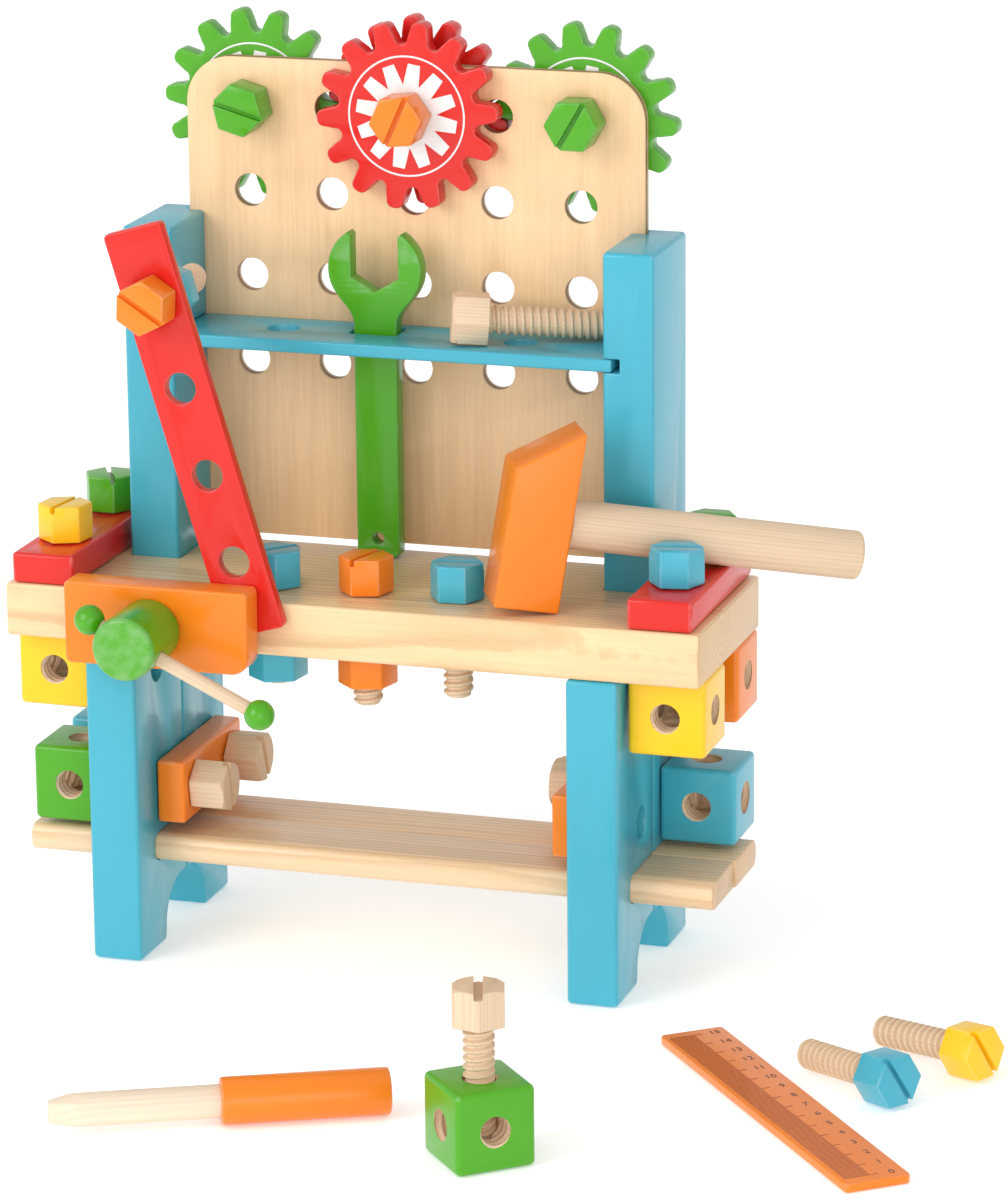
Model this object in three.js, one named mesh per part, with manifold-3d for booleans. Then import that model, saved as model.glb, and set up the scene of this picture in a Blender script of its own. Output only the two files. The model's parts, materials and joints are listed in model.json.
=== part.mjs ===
// A wooden toy workbench with a pegboard, gears, a vise and its tools.
// Millimetres, +X to the right, +Y to the back, +Z up. Inside the bench group, Y = 0 is the
// worktop's front edge and Z = 0 is the floor. The part's origin is on the floor, in the middle of its box.
import * as THREE from 'three';
import { mergeVertices } from 'three/addons/utils/BufferGeometryUtils.js';
import Module from 'manifold-3d';

const wasm = await Module();
wasm.setup();

// ---------- driving dimensions ----------
const GAP = 0.3;                        // play left between pieces that touch
const PITCH = 40;                       // hole spacing on the pegboard
const BOLT_PITCH = 43.5;                // spacing of the bolts along the worktop's front
const BOARD = 24;                       // thickness of the leg boards and uprights
const INNER_HALF = 103;                 // middle of the bench to a leg's inner face
const OUTER_HALF = INNER_HALF + BOARD;  // middle of the bench to a leg's outer face

const WORKTOP = { length: 330, depth: 105, thickness: 25, top: 178.5 };
const LEG_HEIGHT = WORKTOP.top - WORKTOP.thickness;
const SEAM_Y = 61;                      // joint between the front leg board and the upright
const BACK_Y = 117;                     // back of the uprights
const UPRIGHT_HEIGHT = 335;
const ARCH = { middle: 59.5, halfWidth: 27, height: 27 };

const FRONT_ROW_Y = 30;                 // front bolt row of the worktop
const REAR_ROW_Y = 87.5;                // rear bolt row of the worktop and the uprights
const END_X = 146.5;                    // end blocks, their bolts and their cubes
const END_BLOCK = { width: 30, height: 14.5, depth: 104 };

const LOWER_SHELF = { front: 22, seam: 58.8, back: 95.3, bottom: 42, thickness: 13, length: 331, round: 5 };
const UPPER_SHELF = { length: 214, back: 106, bottom: 280, thickness: 6, holeX: 57.5, holeY: 85 };
const SPANNER_SLOT = { left: -25.2, right: -1.8, front: 82, back: 99 };
const SHELF_SLOT_DEPTH = 8;             // depth of the upper shelf's slot in an upright
const PANEL = { front: 106.3, thickness: 6, bottom: 180.8, top: 407.8, corner: 22, hole: 15.5 };
const GROOVE_DEPTH = 8;
const PANEL_HALF = INNER_HALF + GROOVE_DEPTH - 2 * GAP;
const TOP_HOLE_Z = 385.6;               // top row of the pegboard, the gears' axles

const TIE_BEAM = { thickness: 14, front: 24, length: 77, height: 30, z: 76, frontHoleY: 40.5 };
const CUBE = 36;
const CUBE_HOLE = 14.5;

const SHANK = 13.6;                     // bolt shank diameter
const LONG_SHANK = 53;
const SHORT_SHANK = 46;
const BOLT_HOLE = 15.5;                 // clearance hole for a bolt
const HEAD = { acrossFlats: 22, height: 17, slotWidth: 2.4, slotDepth: 3 };
const NUT = { acrossFlats: 24, height: 18 };

const GEAR = { teeth: 14, root: 33, tip: 43.6, thickness: 9.4, bore: 15.5 };

const JAW = { width: 88, height: 38.5, thickness: 15, x: -83.5, bottom: 149.5, corner: 3 };
const VISE = { x: -86, z: 168, hubDiameter: 29.4, hubLength: 35, screwLength: 66 };
const TOMMY = { diameter: 6.5, ball: 13.8, length: 88.7, hubToLeftBall: 22, ahead: 23, tilt: -25.4 };

const STRIP = { width: 28.6, thickness: 6, pitch: 41.2, holes: 4, end: 34, corner: 3, hole: 14.6 };
const STRIP_TOP_HOLE = { x: -86.1, z: 316.4 };
const STRIP_LEAN = 16.7;                // degrees off the vertical

const SPANNER = { x: -13.2, front: 86, thickness: 9, handle: 20.6, headRadius: 22.5, headZ: 312, top: 332.5, jaw: 22.8, jawFloor: 305 };
const HAMMER = { width: 29.8, depth: 28, shortSide: 64.4, longSide: 83.4, handle: 22.4, handleLength: 137, handleUp: 38.8 };
const SCREWDRIVER = { handle: 20.6, handleLength: 73, blade: 14.6, bladeLength: 74, tipLength: 19, tipThickness: 4 };
const RULER = { length: 192, width: 30, thickness: 4 };

const COLOURS = {
  blue: '#4fb3d1', green: '#4fae2a', red: '#e8352b', orange: '#f28a2e', yellow: '#fbc92c',
  pine: '#ecd3a4', beech: '#dcb98e', plywood: '#e9c996',
};

// ---------- solids ----------
function toSolid(geometry) {
  const bare = geometry.clone();
  bare.deleteAttribute('normal');
  bare.deleteAttribute('uv');
  const merged = mergeVertices(bare, 1e-4);
  const vertProperties = new Float32Array(merged.attributes.position.array);
  const triVerts = new Uint32Array(merged.index.array);
  return new wasm.Manifold(new wasm.Mesh({ numProp: 3, vertProperties, triVerts }));
}

function toGeometry(solid) {
  const mesh = solid.getMesh();
  const geometry = new THREE.BufferGeometry();
  geometry.setAttribute('position', new THREE.BufferAttribute(new Float32Array(mesh.vertProperties), 3));
  geometry.setIndex(new THREE.BufferAttribute(new Uint32Array(mesh.triVerts), 1));
  geometry.computeVertexNormals();
  return geometry;
}

function subtract(geometry, tools) {
  return toGeometry(tools.reduce((solid, tool) => solid.subtract(toSolid(tool)), toSolid(geometry)));
}

function unite(geometries) {
  return toGeometry(geometries.slice(1).reduce((solid, other) => solid.add(toSolid(other)), toSolid(geometries[0])));
}

// a box between two opposite corners
function boxBetween(low, high) {
  const size = high.map((value, i) => value - low[i]);
  const middle = high.map((value, i) => (value + low[i]) / 2);
  return new THREE.BoxGeometry(...size).translate(...middle);
}

// a round bar along one axis ('x', 'y' or 'z'), centred on a point
function bar(diameter, length, axis, centre, sides = 14) {
  const geometry = new THREE.CylinderGeometry(diameter / 2, diameter / 2, length, sides);
  if (axis === 'x') geometry.rotateZ(Math.PI / 2);
  if (axis === 'z') geometry.rotateX(Math.PI / 2);
  return geometry.translate(...centre);
}

function roundedOutline(left, bottom, right, top, radius) {
  const shape = new THREE.Shape();
  shape.absarc(right - radius, top - radius, radius, 0, Math.PI / 2);
  shape.absarc(left + radius, top - radius, radius, Math.PI / 2, Math.PI);
  shape.absarc(left + radius, bottom + radius, radius, Math.PI, 1.5 * Math.PI);
  shape.absarc(right - radius, bottom + radius, radius, 1.5 * Math.PI, 2 * Math.PI);
  return shape;
}

function pierce(shape, diameter, centres) {
  for (const [x, y] of centres) {
    shape.holes.push(new THREE.Path().absarc(x, y, diameter / 2, 0, 2 * Math.PI, true));
  }
  return shape;
}

// a flat piece drawn in plan and extruded upward from z = bottom
function plate(shape, bottom, thickness, curveSegments = 7) {
  return new THREE.ExtrudeGeometry(shape, { depth: thickness, bevelEnabled: false, curveSegments }).translate(0, 0, bottom);
}

// a flat piece drawn in the front view (x, z) with its front face at y
function frontPlate(shape, y, thickness, curveSegments = 7) {
  return plate(shape, 0, thickness, curveSegments).rotateX(Math.PI / 2).translate(0, y + thickness, 0);
}

// a flat piece drawn in the side view (y, z), from x = left to the right
function sidePlate(shape, left, thickness, curveSegments = 6) {
  const geometry = plate(shape, 0, thickness, curveSegments);
  geometry.applyMatrix4(new THREE.Matrix4().set(0, 0, 1, left, 1, 0, 0, 0, 0, 1, 0, 0, 0, 0, 0, 1));
  return geometry;
}

function meshOf(name, geometry, colour, roughness = 0.45) {
  const material = new THREE.MeshStandardMaterial({ color: COLOURS[colour], roughness, metalness: 0 });
  const mesh = new THREE.Mesh(geometry, material);
  mesh.name = name;
  return mesh;
}

const degrees = THREE.MathUtils.degToRad;

// ---------- the frame ----------
function worktop() {
  const half = WORKTOP.length / 2;
  const notch = { inner: INNER_HALF - GAP, outer: OUTER_HALF + GAP, front: SEAM_Y };
  const shape = new THREE.Shape();
  shape.moveTo(-half, 0);
  shape.lineTo(half, 0);
  shape.lineTo(half, WORKTOP.depth);
  for (const [x, y] of [
    [notch.outer, WORKTOP.depth], [notch.outer, notch.front], [notch.inner, notch.front], [notch.inner, WORKTOP.depth],
    [-notch.inner, WORKTOP.depth], [-notch.inner, notch.front], [-notch.outer, notch.front], [-notch.outer, WORKTOP.depth],
    [-half, WORKTOP.depth],
  ]) shape.lineTo(x, y);
  const bolts = [-END_X, END_X].flatMap((x) => [[x, FRONT_ROW_Y], [x, REAR_ROW_Y]]);
  pierce(shape, BOLT_HOLE, [...bolts, [-BOLT_PITCH, FRONT_ROW_Y], [0, FRONT_ROW_Y], [BOLT_PITCH, FRONT_ROW_Y]]);
  const board = plate(shape, LEG_HEIGHT, WORKTOP.thickness);
  const screwHole = bar(CUBE_HOLE, 110, 'y', [VISE.x, 0, VISE.z]);
  return meshOf('worktop', subtract(board, [screwHole]), 'pine', 0.4);
}

// the arch between the front and the rear foot, as a cutter through both legs
function archCutter() {
  const { middle, halfWidth, height } = ARCH;
  const shape = new THREE.Shape();
  shape.moveTo(middle - halfWidth - 2, -1);
  shape.lineTo(middle - halfWidth, 3);
  shape.bezierCurveTo(middle - halfWidth + 5, 18, middle - 14, height, middle, height);
  shape.bezierCurveTo(middle + 14, height, middle + halfWidth - 5, 18, middle + halfWidth, 3);
  shape.lineTo(middle + halfWidth + 2, -1);
  return sidePlate(shape, -200, 400);
}

function shelfCutter() {
  const low = LOWER_SHELF.bottom - GAP;
  const high = LOWER_SHELF.bottom + LOWER_SHELF.thickness + GAP;
  const shape = roundedOutline(LOWER_SHELF.front - GAP, low, LOWER_SHELF.back + GAP, high, LOWER_SHELF.round);
  return sidePlate(shape, -200, 400, 4);
}

function legFront(name, side) {
  const left = side < 0 ? -OUTER_HALF : INNER_HALF;
  const board = boxBetween([left, 0, 0], [left + BOARD, SEAM_Y, LEG_HEIGHT - GAP]);
  const middle = left + BOARD / 2;
  return meshOf(name, subtract(board, [
    archCutter(),
    shelfCutter(),
    bar(BOLT_HOLE, 40, 'x', [middle, TIE_BEAM.frontHoleY, TIE_BEAM.z]),
    bar(BOLT_HOLE, 40, 'x', [middle, FRONT_ROW_Y, LEG_HEIGHT - CUBE / 2]),
  ]), 'blue');
}

function upright(name, side) {
  const left = side < 0 ? -OUTER_HALF : INNER_HALF;
  const board = boxBetween([left, SEAM_Y + GAP, 0], [left + BOARD, BACK_Y, UPRIGHT_HEIGHT]);
  const middle = left + BOARD / 2;
  const innerFace = side * INNER_HALF;
  const groove = boxBetween(
    [Math.min(innerFace - side, innerFace + side * GROOVE_DEPTH), PANEL.front - GAP, PANEL.bottom - GAP],
    [Math.max(innerFace - side, innerFace + side * GROOVE_DEPTH), PANEL.front + PANEL.thickness + GAP, UPRIGHT_HEIGHT + 1]);
  const slot = boxBetween(
    [Math.min(innerFace - side, innerFace + side * SHELF_SLOT_DEPTH), SEAM_Y - 1, UPPER_SHELF.bottom - GAP],
    [Math.max(innerFace - side, innerFace + side * SHELF_SLOT_DEPTH), PANEL.front, UPPER_SHELF.bottom + UPPER_SHELF.thickness + GAP]);
  return meshOf(name, subtract(board, [
    archCutter(),
    shelfCutter(),
    groove,
    slot,
    bar(BOLT_HOLE, 40, 'x', [middle, REAR_ROW_Y, TIE_BEAM.z]),
    bar(BOLT_HOLE, 40, 'x', [middle, REAR_ROW_Y, LEG_HEIGHT - CUBE / 2]),
  ]), 'blue');
}

// one of the two boards of the lower shelf, rounded on its outer edge
function lowerShelfBoard(name, front, back, roundFront, shift) {
  const { bottom, thickness, round, length } = LOWER_SHELF;
  const r = round;
  const shape = new THREE.Shape();
  if (roundFront) {
    shape.moveTo(back, bottom);
    shape.lineTo(back, bottom + thickness);
    shape.absarc(front + r, bottom + thickness - r, r, Math.PI / 2, Math.PI);
    shape.absarc(front + r, bottom + r, r, Math.PI, 1.5 * Math.PI);
  } else {
    shape.moveTo(front, bottom + thickness);
    shape.lineTo(front, bottom);
    shape.absarc(back - r, bottom + r, r, -Math.PI / 2, 0);
    shape.absarc(back - r, bottom + thickness - r, r, 0, Math.PI / 2);
  }
  return meshOf(name, sidePlate(shape, -length / 2 + shift, length, 4), 'pine');
}

function panel() {
  const { top, bottom, corner, hole } = PANEL;
  const half = PANEL_HALF;
  const shape = new THREE.Shape();
  shape.moveTo(-half, bottom);
  shape.lineTo(half, bottom);
  shape.absarc(half - corner, top - corner, corner, 0, Math.PI / 2);
  shape.absarc(-half + corner, top - corner, corner, Math.PI / 2, Math.PI);
  const centres = [];
  for (let row = 0; row < 4; row += 1) {
    for (let column = -2; column <= 2; column += 1) centres.push([column * PITCH, TOP_HOLE_Z - row * PITCH]);
  }
  return meshOf('pegboard_panel', frontPlate(pierce(shape, hole, centres), PANEL.front, PANEL.thickness), 'plywood', 0.55);
}

function upperShelf() {
  const half = UPPER_SHELF.length / 2;
  const shape = roundedOutline(-half, SEAM_Y + GAP, half, UPPER_SHELF.back, 1);
  pierce(shape, BOLT_HOLE, [[-UPPER_SHELF.holeX, UPPER_SHELF.holeY], [UPPER_SHELF.holeX, UPPER_SHELF.holeY]]);
  const { left, right, front, back } = SPANNER_SLOT;
  shape.holes.push(new THREE.Path([[left, front], [left, back], [right, back], [right, front]]
    .map(([x, y]) => new THREE.Vector2(x, y))));
  return meshOf('upper_shelf', plate(shape, UPPER_SHELF.bottom, UPPER_SHELF.thickness), 'blue');
}

function endBlock(name, side) {
  const { width, height, depth } = END_BLOCK;
  const front = (WORKTOP.depth - depth) / 2;
  const shape = roundedOutline(side * END_X - width / 2, front, side * END_X + width / 2, front + depth, 2);
  pierce(shape, BOLT_HOLE, [[side * END_X, FRONT_ROW_Y], [side * END_X, REAR_ROW_Y]]);
  return meshOf(name, plate(shape, WORKTOP.top + GAP, height - GAP), 'red');
}

function tieBeam(name, side) {
  const { thickness, front, length, height, z, frontHoleY } = TIE_BEAM;
  const near = side * (INNER_HALF - GAP);
  const far = side * (INNER_HALF - thickness);
  const board = boxBetween(
    [Math.min(near, far), front, z - height / 2],
    [Math.max(near, far), front + length, z + height / 2]);
  const holes = [frontHoleY, REAR_ROW_Y].map((y) => bar(BOLT_HOLE, 40, 'x', [near, y, z]));
  return meshOf(name, subtract(board, holes), 'orange');
}

// ---------- cubes, bolts and nuts ----------
function cube(name, colour, centre, turn = 0) {
  const block = new THREE.BoxGeometry(CUBE, CUBE, CUBE);
  const holes = ['x', 'y', 'z'].map((axis) => bar(CUBE_HOLE, CUBE + 4, axis, [0, 0, 0]));
  const mesh = meshOf(name, subtract(block, holes), colour);
  mesh.position.set(...centre);
  mesh.rotation.z = turn;
  return mesh;
}

// a bolt whose head stands on z = 0 and points up; the slot runs from corner to corner along x
function boltGeometry(shank) {
  const corner = HEAD.acrossFlats / Math.sqrt(3);
  const head = new THREE.CylinderGeometry(corner, corner, HEAD.height, 6).rotateX(Math.PI / 2)
    .rotateZ(Math.PI / 2).translate(0, 0, HEAD.height / 2);
  const slot = boxBetween(
    [-corner - 1, -HEAD.slotWidth / 2, HEAD.height - HEAD.slotDepth],
    [corner + 1, HEAD.slotWidth / 2, HEAD.height + 1]);
  const pin = bar(SHANK, shank + 2, 'z', [0, 0, 1 - shank / 2]);
  return toGeometry(toSolid(head).subtract(toSolid(slot)).add(toSolid(pin)));
}

function nutGeometry() {
  const corner = NUT.acrossFlats / Math.sqrt(3);
  const body = new THREE.CylinderGeometry(corner, corner, NUT.height, 6).rotateX(Math.PI / 2)
    .rotateZ(Math.PI / 2).translate(0, 0, NUT.height / 2);
  return subtract(body, [bar(CUBE_HOLE, NUT.height * 3, 'z', [0, 0, 0])]);
}

// turns a piece made along +Z so that +Z points along a direction, after a spin about its own axis
function aim(mesh, seat, direction, spin = 0) {
  const way = new THREE.Vector3(...direction).normalize();
  const swing = new THREE.Quaternion().setFromUnitVectors(new THREE.Vector3(0, 0, 1), way);
  const roll = new THREE.Quaternion().setFromAxisAngle(new THREE.Vector3(0, 0, 1), degrees(spin));
  mesh.quaternion.copy(swing.multiply(roll));
  mesh.position.set(...seat);
  return mesh;
}

// seat is the point under the head, direction points out of the head
function bolt(name, colour, shank, seat, direction, spin = 0) {
  return aim(meshOf(name, boltGeometry(shank), colour), seat, direction, spin);
}

// seat is the face nearest the head of the bolt, direction points away from it
function nut(name, colour, seat, direction, spin = 0) {
  return aim(meshOf(name, nutGeometry(), colour), seat, direction, spin);
}

const UP = [0, 0, 1];
const DOWN = [0, 0, -1];
const FRONT = [0, -1, 0];
const BACK = [0, 1, 0];

function worktopFasteners() {
  const underCubeZ = LEG_HEIGHT - GAP - CUBE / 2;
  const blockTop = WORKTOP.top + END_BLOCK.height + GAP;
  const onTop = WORKTOP.top + GAP;
  const underneath = LEG_HEIGHT - GAP;
  return [
    cube('cube_left_front_yellow', 'yellow', [-END_X, FRONT_ROW_Y, underCubeZ]),
    cube('cube_right_front_yellow', 'yellow', [END_X, FRONT_ROW_Y, underCubeZ]),
    cube('cube_left_rear_orange', 'orange', [-END_X, REAR_ROW_Y, underCubeZ]),
    cube('cube_right_rear_orange', 'orange', [END_X, REAR_ROW_Y, underCubeZ]),
    bolt('bolt_left_front_yellow', 'yellow', SHORT_SHANK, [-END_X, FRONT_ROW_Y, blockTop], UP, 82),
    bolt('bolt_left_rear_green', 'green', LONG_SHANK, [-END_X, REAR_ROW_Y, blockTop], UP, 117),
    bolt('bolt_right_front_blue', 'blue', SHORT_SHANK, [END_X, FRONT_ROW_Y, blockTop], UP, 10),
    bolt('bolt_right_rear_green', 'green', LONG_SHANK, [END_X, REAR_ROW_Y, blockTop], UP, 0),
    bolt('bolt_worktop_left_blue', 'blue', SHORT_SHANK, [-BOLT_PITCH, FRONT_ROW_Y, onTop], UP, 49),
    bolt('bolt_worktop_middle_orange', 'orange', LONG_SHANK, [0, FRONT_ROW_Y, onTop], UP, 75),
    bolt('bolt_worktop_right_blue', 'blue', SHORT_SHANK, [BOLT_PITCH, FRONT_ROW_Y, onTop], UP, 4),
    nut('nut_worktop_left_blue', 'blue', [-BOLT_PITCH, FRONT_ROW_Y, underneath], DOWN, 8),
    nut('nut_worktop_middle_orange', 'orange', [0, FRONT_ROW_Y, underneath], DOWN, 14),
  ];
}

function legFasteners() {
  const { frontHoleY, thickness, z } = TIE_BEAM;
  const head = INNER_HALF - thickness - GAP;
  const cubeX = OUTER_HALF + GAP + CUBE / 2;
  return [
    cube('cube_left_leg_green', 'green', [-cubeX, frontHoleY, z]),
    cube('cube_left_leg_blue', 'blue', [-cubeX, REAR_ROW_Y, z]),
    cube('cube_right_leg_blue', 'blue', [cubeX, REAR_ROW_Y, z]),
    bolt('bolt_left_leg_front', 'beech', LONG_SHANK, [-head, frontHoleY, z], [1, 0, 0], 10),
    bolt('bolt_left_leg_rear', 'beech', LONG_SHANK, [-head, REAR_ROW_Y, z], [1, 0, 0], 20),
    bolt('bolt_right_leg_rear', 'beech', LONG_SHANK, [head, REAR_ROW_Y, z], [-1, 0, 0], 12),
  ];
}

// ---------- gears ----------
// the rim follows a cosine squeezed flat at the tip and the root, which gives round-ended teeth
function gearGeometry(phase) {
  const middle = (GEAR.tip + GEAR.root) / 2;
  const swing = (GEAR.tip - GEAR.root) / 2;
  const steps = 8;
  const points = [];
  for (let i = 0; i < GEAR.teeth * steps; i += 1) {
    const turn = (2 * Math.PI * i) / (GEAR.teeth * steps);
    const wave = Math.cos(turn * GEAR.teeth);
    const radius = middle + swing * Math.tanh(2.2 * wave) / Math.tanh(2.2);
    points.push(new THREE.Vector2(radius * Math.sin(turn + phase), radius * Math.cos(turn + phase)));
  }
  const shape = pierce(new THREE.Shape(points.reverse()), GEAR.bore, [[0, 0]]);
  return frontPlate(shape, 0, GEAR.thickness);
}

function gear(name, colour, column, y, phaseDegrees) {
  const mesh = meshOf(name, gearGeometry(degrees(phaseDegrees)), colour, 0.35);
  mesh.position.set(column * PITCH, y, TOP_HOLE_Z);
  return mesh;
}

function gearTrain() {
  const behind = PANEL.front + PANEL.thickness + GAP;
  const ahead = PANEL.front - GAP - GEAR.thickness;
  const nutSeat = behind + GEAR.thickness + GAP;
  const greenPhase = 16.5;                              // a tooth's angle, clockwise from the top
  const redPhase = 180 / GEAR.teeth - greenPhase;       // puts the red gear's gaps on the green teeth
  return [
    gear('gear_rear_left_green', 'green', -2, behind, greenPhase),
    gear('gear_rear_middle_red', 'red', 0, behind, redPhase),
    gear('gear_rear_right_green', 'green', 2, behind, greenPhase),
    gear('gear_front_red', 'red', 0, ahead, 9.1),
    bolt('bolt_gear_left_green', 'green', LONG_SHANK, [-2 * PITCH, PANEL.front - GAP, TOP_HOLE_Z], FRONT, -16),
    bolt('bolt_gear_right_green', 'green', LONG_SHANK, [2 * PITCH, PANEL.front - GAP, TOP_HOLE_Z], FRONT, 60),
    bolt('bolt_gear_middle_orange', 'orange', LONG_SHANK, [0, ahead - GAP, TOP_HOLE_Z], FRONT, 66),
    nut('nut_gear_left', 'yellow', [-2 * PITCH, nutSeat, TOP_HOLE_Z], BACK, 0),
    nut('nut_gear_middle', 'blue', [0, nutSeat, TOP_HOLE_Z], BACK, 10),
    nut('nut_gear_right', 'yellow', [2 * PITCH, nutSeat, TOP_HOLE_Z], BACK, 20),
  ];
}

// ---------- vise and strip ----------
const STRIP_BACK = -GAP;
const STRIP_FRONT = STRIP_BACK - STRIP.thickness;
const JAW_BACK = STRIP_FRONT - GAP;
const JAW_FRONT = JAW_BACK - JAW.thickness;
const BAR_Y = JAW_FRONT - TOMMY.ahead;

function vise() {
  const { x, z } = VISE;
  const half = JAW.width / 2;
  const outline = roundedOutline(JAW.x - half, JAW.bottom, JAW.x + half, JAW.bottom + JAW.height, JAW.corner);
  const plateSolid = frontPlate(pierce(outline, BOLT_HOLE, [[x, z]]), JAW_FRONT, JAW.thickness, 5);
  const hub = bar(VISE.hubDiameter, VISE.hubLength, 'y', [x, JAW_FRONT - GAP - VISE.hubLength / 2, z], 28);
  const screw = bar(SHANK, VISE.screwLength, 'y', [x, JAW_FRONT - 3 + VISE.screwLength / 2, z]);
  const tilt = degrees(TOMMY.tilt);
  const lengthways = new THREE.Vector3(Math.cos(tilt), 0, Math.sin(tilt));
  const along = (distance) => [x + lengthways.x * distance, BAR_Y, z + lengthways.z * distance];
  const leftBall = -TOMMY.hubToLeftBall;
  const rightBall = leftBall + TOMMY.length;
  const rod = (diameter, from, to) => new THREE.CylinderGeometry(diameter / 2, diameter / 2, to - from, 14)
    .rotateX(Math.PI / 2).translate(0, 0, (from + to) / 2);
  const crossHole = aim(new THREE.Mesh(rod(TOMMY.diameter + 1, -30, 30)), [x, BAR_Y, z], lengthways.toArray());
  crossHole.updateMatrix();
  const screwMesh = meshOf('vise_screw', subtract(unite([hub, screw]), [crossHole.geometry.applyMatrix4(crossHole.matrix)]), 'green');
  const reach = TOMMY.ball / 2 + GAP;
  const tommy = meshOf('tommy_bar', rod(TOMMY.diameter, leftBall + reach, rightBall - reach), 'beech');
  const ball = (name, distance) => {
    const mesh = meshOf(name, new THREE.SphereGeometry(TOMMY.ball / 2, 14, 10).rotateX(Math.PI / 2), 'green');
    mesh.position.set(...along(distance));
    return mesh;
  };
  return [
    meshOf('vise_jaw', plateSolid, 'orange'),
    screwMesh,
    aim(tommy, [x, BAR_Y, z], lengthways.toArray()),
    ball('tommy_ball_left', leftBall),
    ball('tommy_ball_right', rightBall),
  ];
}

function strip() {
  const { width, thickness, pitch, holes, end, corner, hole } = STRIP;
  const length = 2 * end + (holes - 1) * pitch;
  const shape = roundedOutline(-width / 2, end - length, width / 2, end, corner);
  pierce(shape, hole, Array.from({ length: holes }, (_, i) => [0, -i * pitch]));
  const mesh = meshOf('perforated_strip', frontPlate(shape, 0, thickness), 'red');
  mesh.position.set(STRIP_TOP_HOLE.x, STRIP_FRONT, STRIP_TOP_HOLE.z);
  mesh.rotation.y = degrees(-STRIP_LEAN);
  const { x, z } = STRIP_TOP_HOLE;
  return [
    mesh,
    bolt('bolt_strip_orange', 'orange', LONG_SHANK, [x, STRIP_FRONT - GAP, z], FRONT, -33),
    nut('nut_strip_blue', 'blue', [x, STRIP_BACK + GAP, z], BACK, 15),
  ];
}

// ---------- tools ----------
function spanner() {
  const { x, front, thickness, handle, headRadius, headZ, top, jaw, jawFloor } = SPANNER;
  const h = handle / 2;
  const j = jaw / 2;
  const bottom = WORKTOP.top + GAP;
  const neck = headZ - headRadius;
  const jawShoulder = jawFloor + j * Math.tan(Math.PI / 6);
  const shape = new THREE.Shape();
  shape.moveTo(-h, bottom + 4);
  shape.quadraticCurveTo(-h, bottom, -h + 4, bottom);
  shape.lineTo(h - 4, bottom);
  shape.quadraticCurveTo(h, bottom, h, bottom + 4);
  shape.lineTo(h, neck);
  shape.bezierCurveTo(h, neck + 9, headRadius, neck + 12, headRadius, headZ + 3);
  shape.bezierCurveTo(headRadius, headZ + 12, j + 6, top - 3, j + 1.5, top);
  for (const [px, pz] of [[j, top - 1.5], [j, jawShoulder], [0, jawFloor], [-j, jawShoulder], [-j, top - 1.5], [-j - 1.5, top]]) {
    shape.lineTo(px, pz);
  }
  shape.bezierCurveTo(-j - 6, top - 3, -headRadius, headZ + 12, -headRadius, headZ + 3);
  shape.bezierCurveTo(-headRadius, neck + 12, -h, neck + 9, -h, neck);
  pierce(shape, 5.6, [[0, bottom + 9]]);
  const mesh = meshOf('spanner', frontPlate(shape, front, thickness, 6), 'green', 0.35);
  mesh.position.x = x;
  return mesh;
}

function hammer() {
  const { width, depth, shortSide, longSide, handle, handleLength, handleUp } = HAMMER;
  const tenon = { diameter: 14, length: 18 };
  const profile = new THREE.Shape([[-width, 0], [0, 0], [0, longSide], [-width, shortSide]]
    .map(([x, z]) => new THREE.Vector2(x, z)));
  const socket = bar(tenon.diameter + 2 * GAP, 2 * tenon.length + 2, 'x', [0, depth / 2, handleUp]);
  const head = meshOf('hammer_head', subtract(frontPlate(profile, 0, depth), [socket]), 'orange');
  const grip = bar(handle, handleLength, 'x', [GAP + handleLength / 2, depth / 2, handleUp], 24);
  const peg = bar(tenon.diameter, tenon.length + 4, 'x', [2 - tenon.length / 2, depth / 2, handleUp]);
  const handleMesh = meshOf('hammer_handle', unite([grip, peg]), 'beech', 0.5);
  const group = new THREE.Group();
  group.add(head, handleMesh);
  // stands on the lower edge of its head and rests its handle on the right end block
  const yaw = degrees(28);
  const droop = degrees(9.6);
  const along = new THREE.Vector3(Math.cos(droop) * Math.cos(yaw), Math.cos(droop) * Math.sin(yaw), -Math.sin(droop));
  const across = new THREE.Vector3(-Math.sin(yaw), Math.cos(yaw), 0);
  group.quaternion.setFromRotationMatrix(new THREE.Matrix4().makeBasis(along, across, along.clone().cross(across)));
  group.position.set(95.8, 15.2, WORKTOP.top + GAP);
  return group;
}

// a bolt lying on a flat of its head and the end of its shank; yaw points out of the head
function lyingBolt(name, colour, shank, seat, floor, yaw) {
  const tip = Math.asin((HEAD.acrossFlats - SHANK) / 2 / shank) * 0.95;
  const way = [Math.cos(degrees(yaw)) * Math.cos(tip), Math.sin(degrees(yaw)) * Math.cos(tip), Math.sin(tip)];
  return bolt(name, colour, shank, [...seat, floor + HEAD.acrossFlats / 2], way, yaw + 30);
}

function screwdriver() {
  const { handle, handleLength, blade, bladeLength, tipLength, tipThickness } = SCREWDRIVER;
  const grip = bar(handle, handleLength, 'x', [handleLength / 2, 0, 0], 24);
  const shaft = bar(blade, bladeLength + 4, 'x', [2 - bladeLength / 2, 0, 0]);
  const slope = Math.atan2((blade - tipThickness) / 2, tipLength);
  const shave = (side) => new THREE.BoxGeometry(60, 20, 20).translate(30, side * 10, 0)
    .rotateZ(side * slope).translate(-bladeLength, side * tipThickness / 2, 0);
  const mesh = meshOf('screwdriver', subtract(unite([grip, shaft]), [shave(-1), shave(1)]), 'orange');
  mesh.position.set(3.6, -183.2, handle / 2);
  mesh.rotation.z = degrees(25.9);
  return mesh;
}

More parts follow.
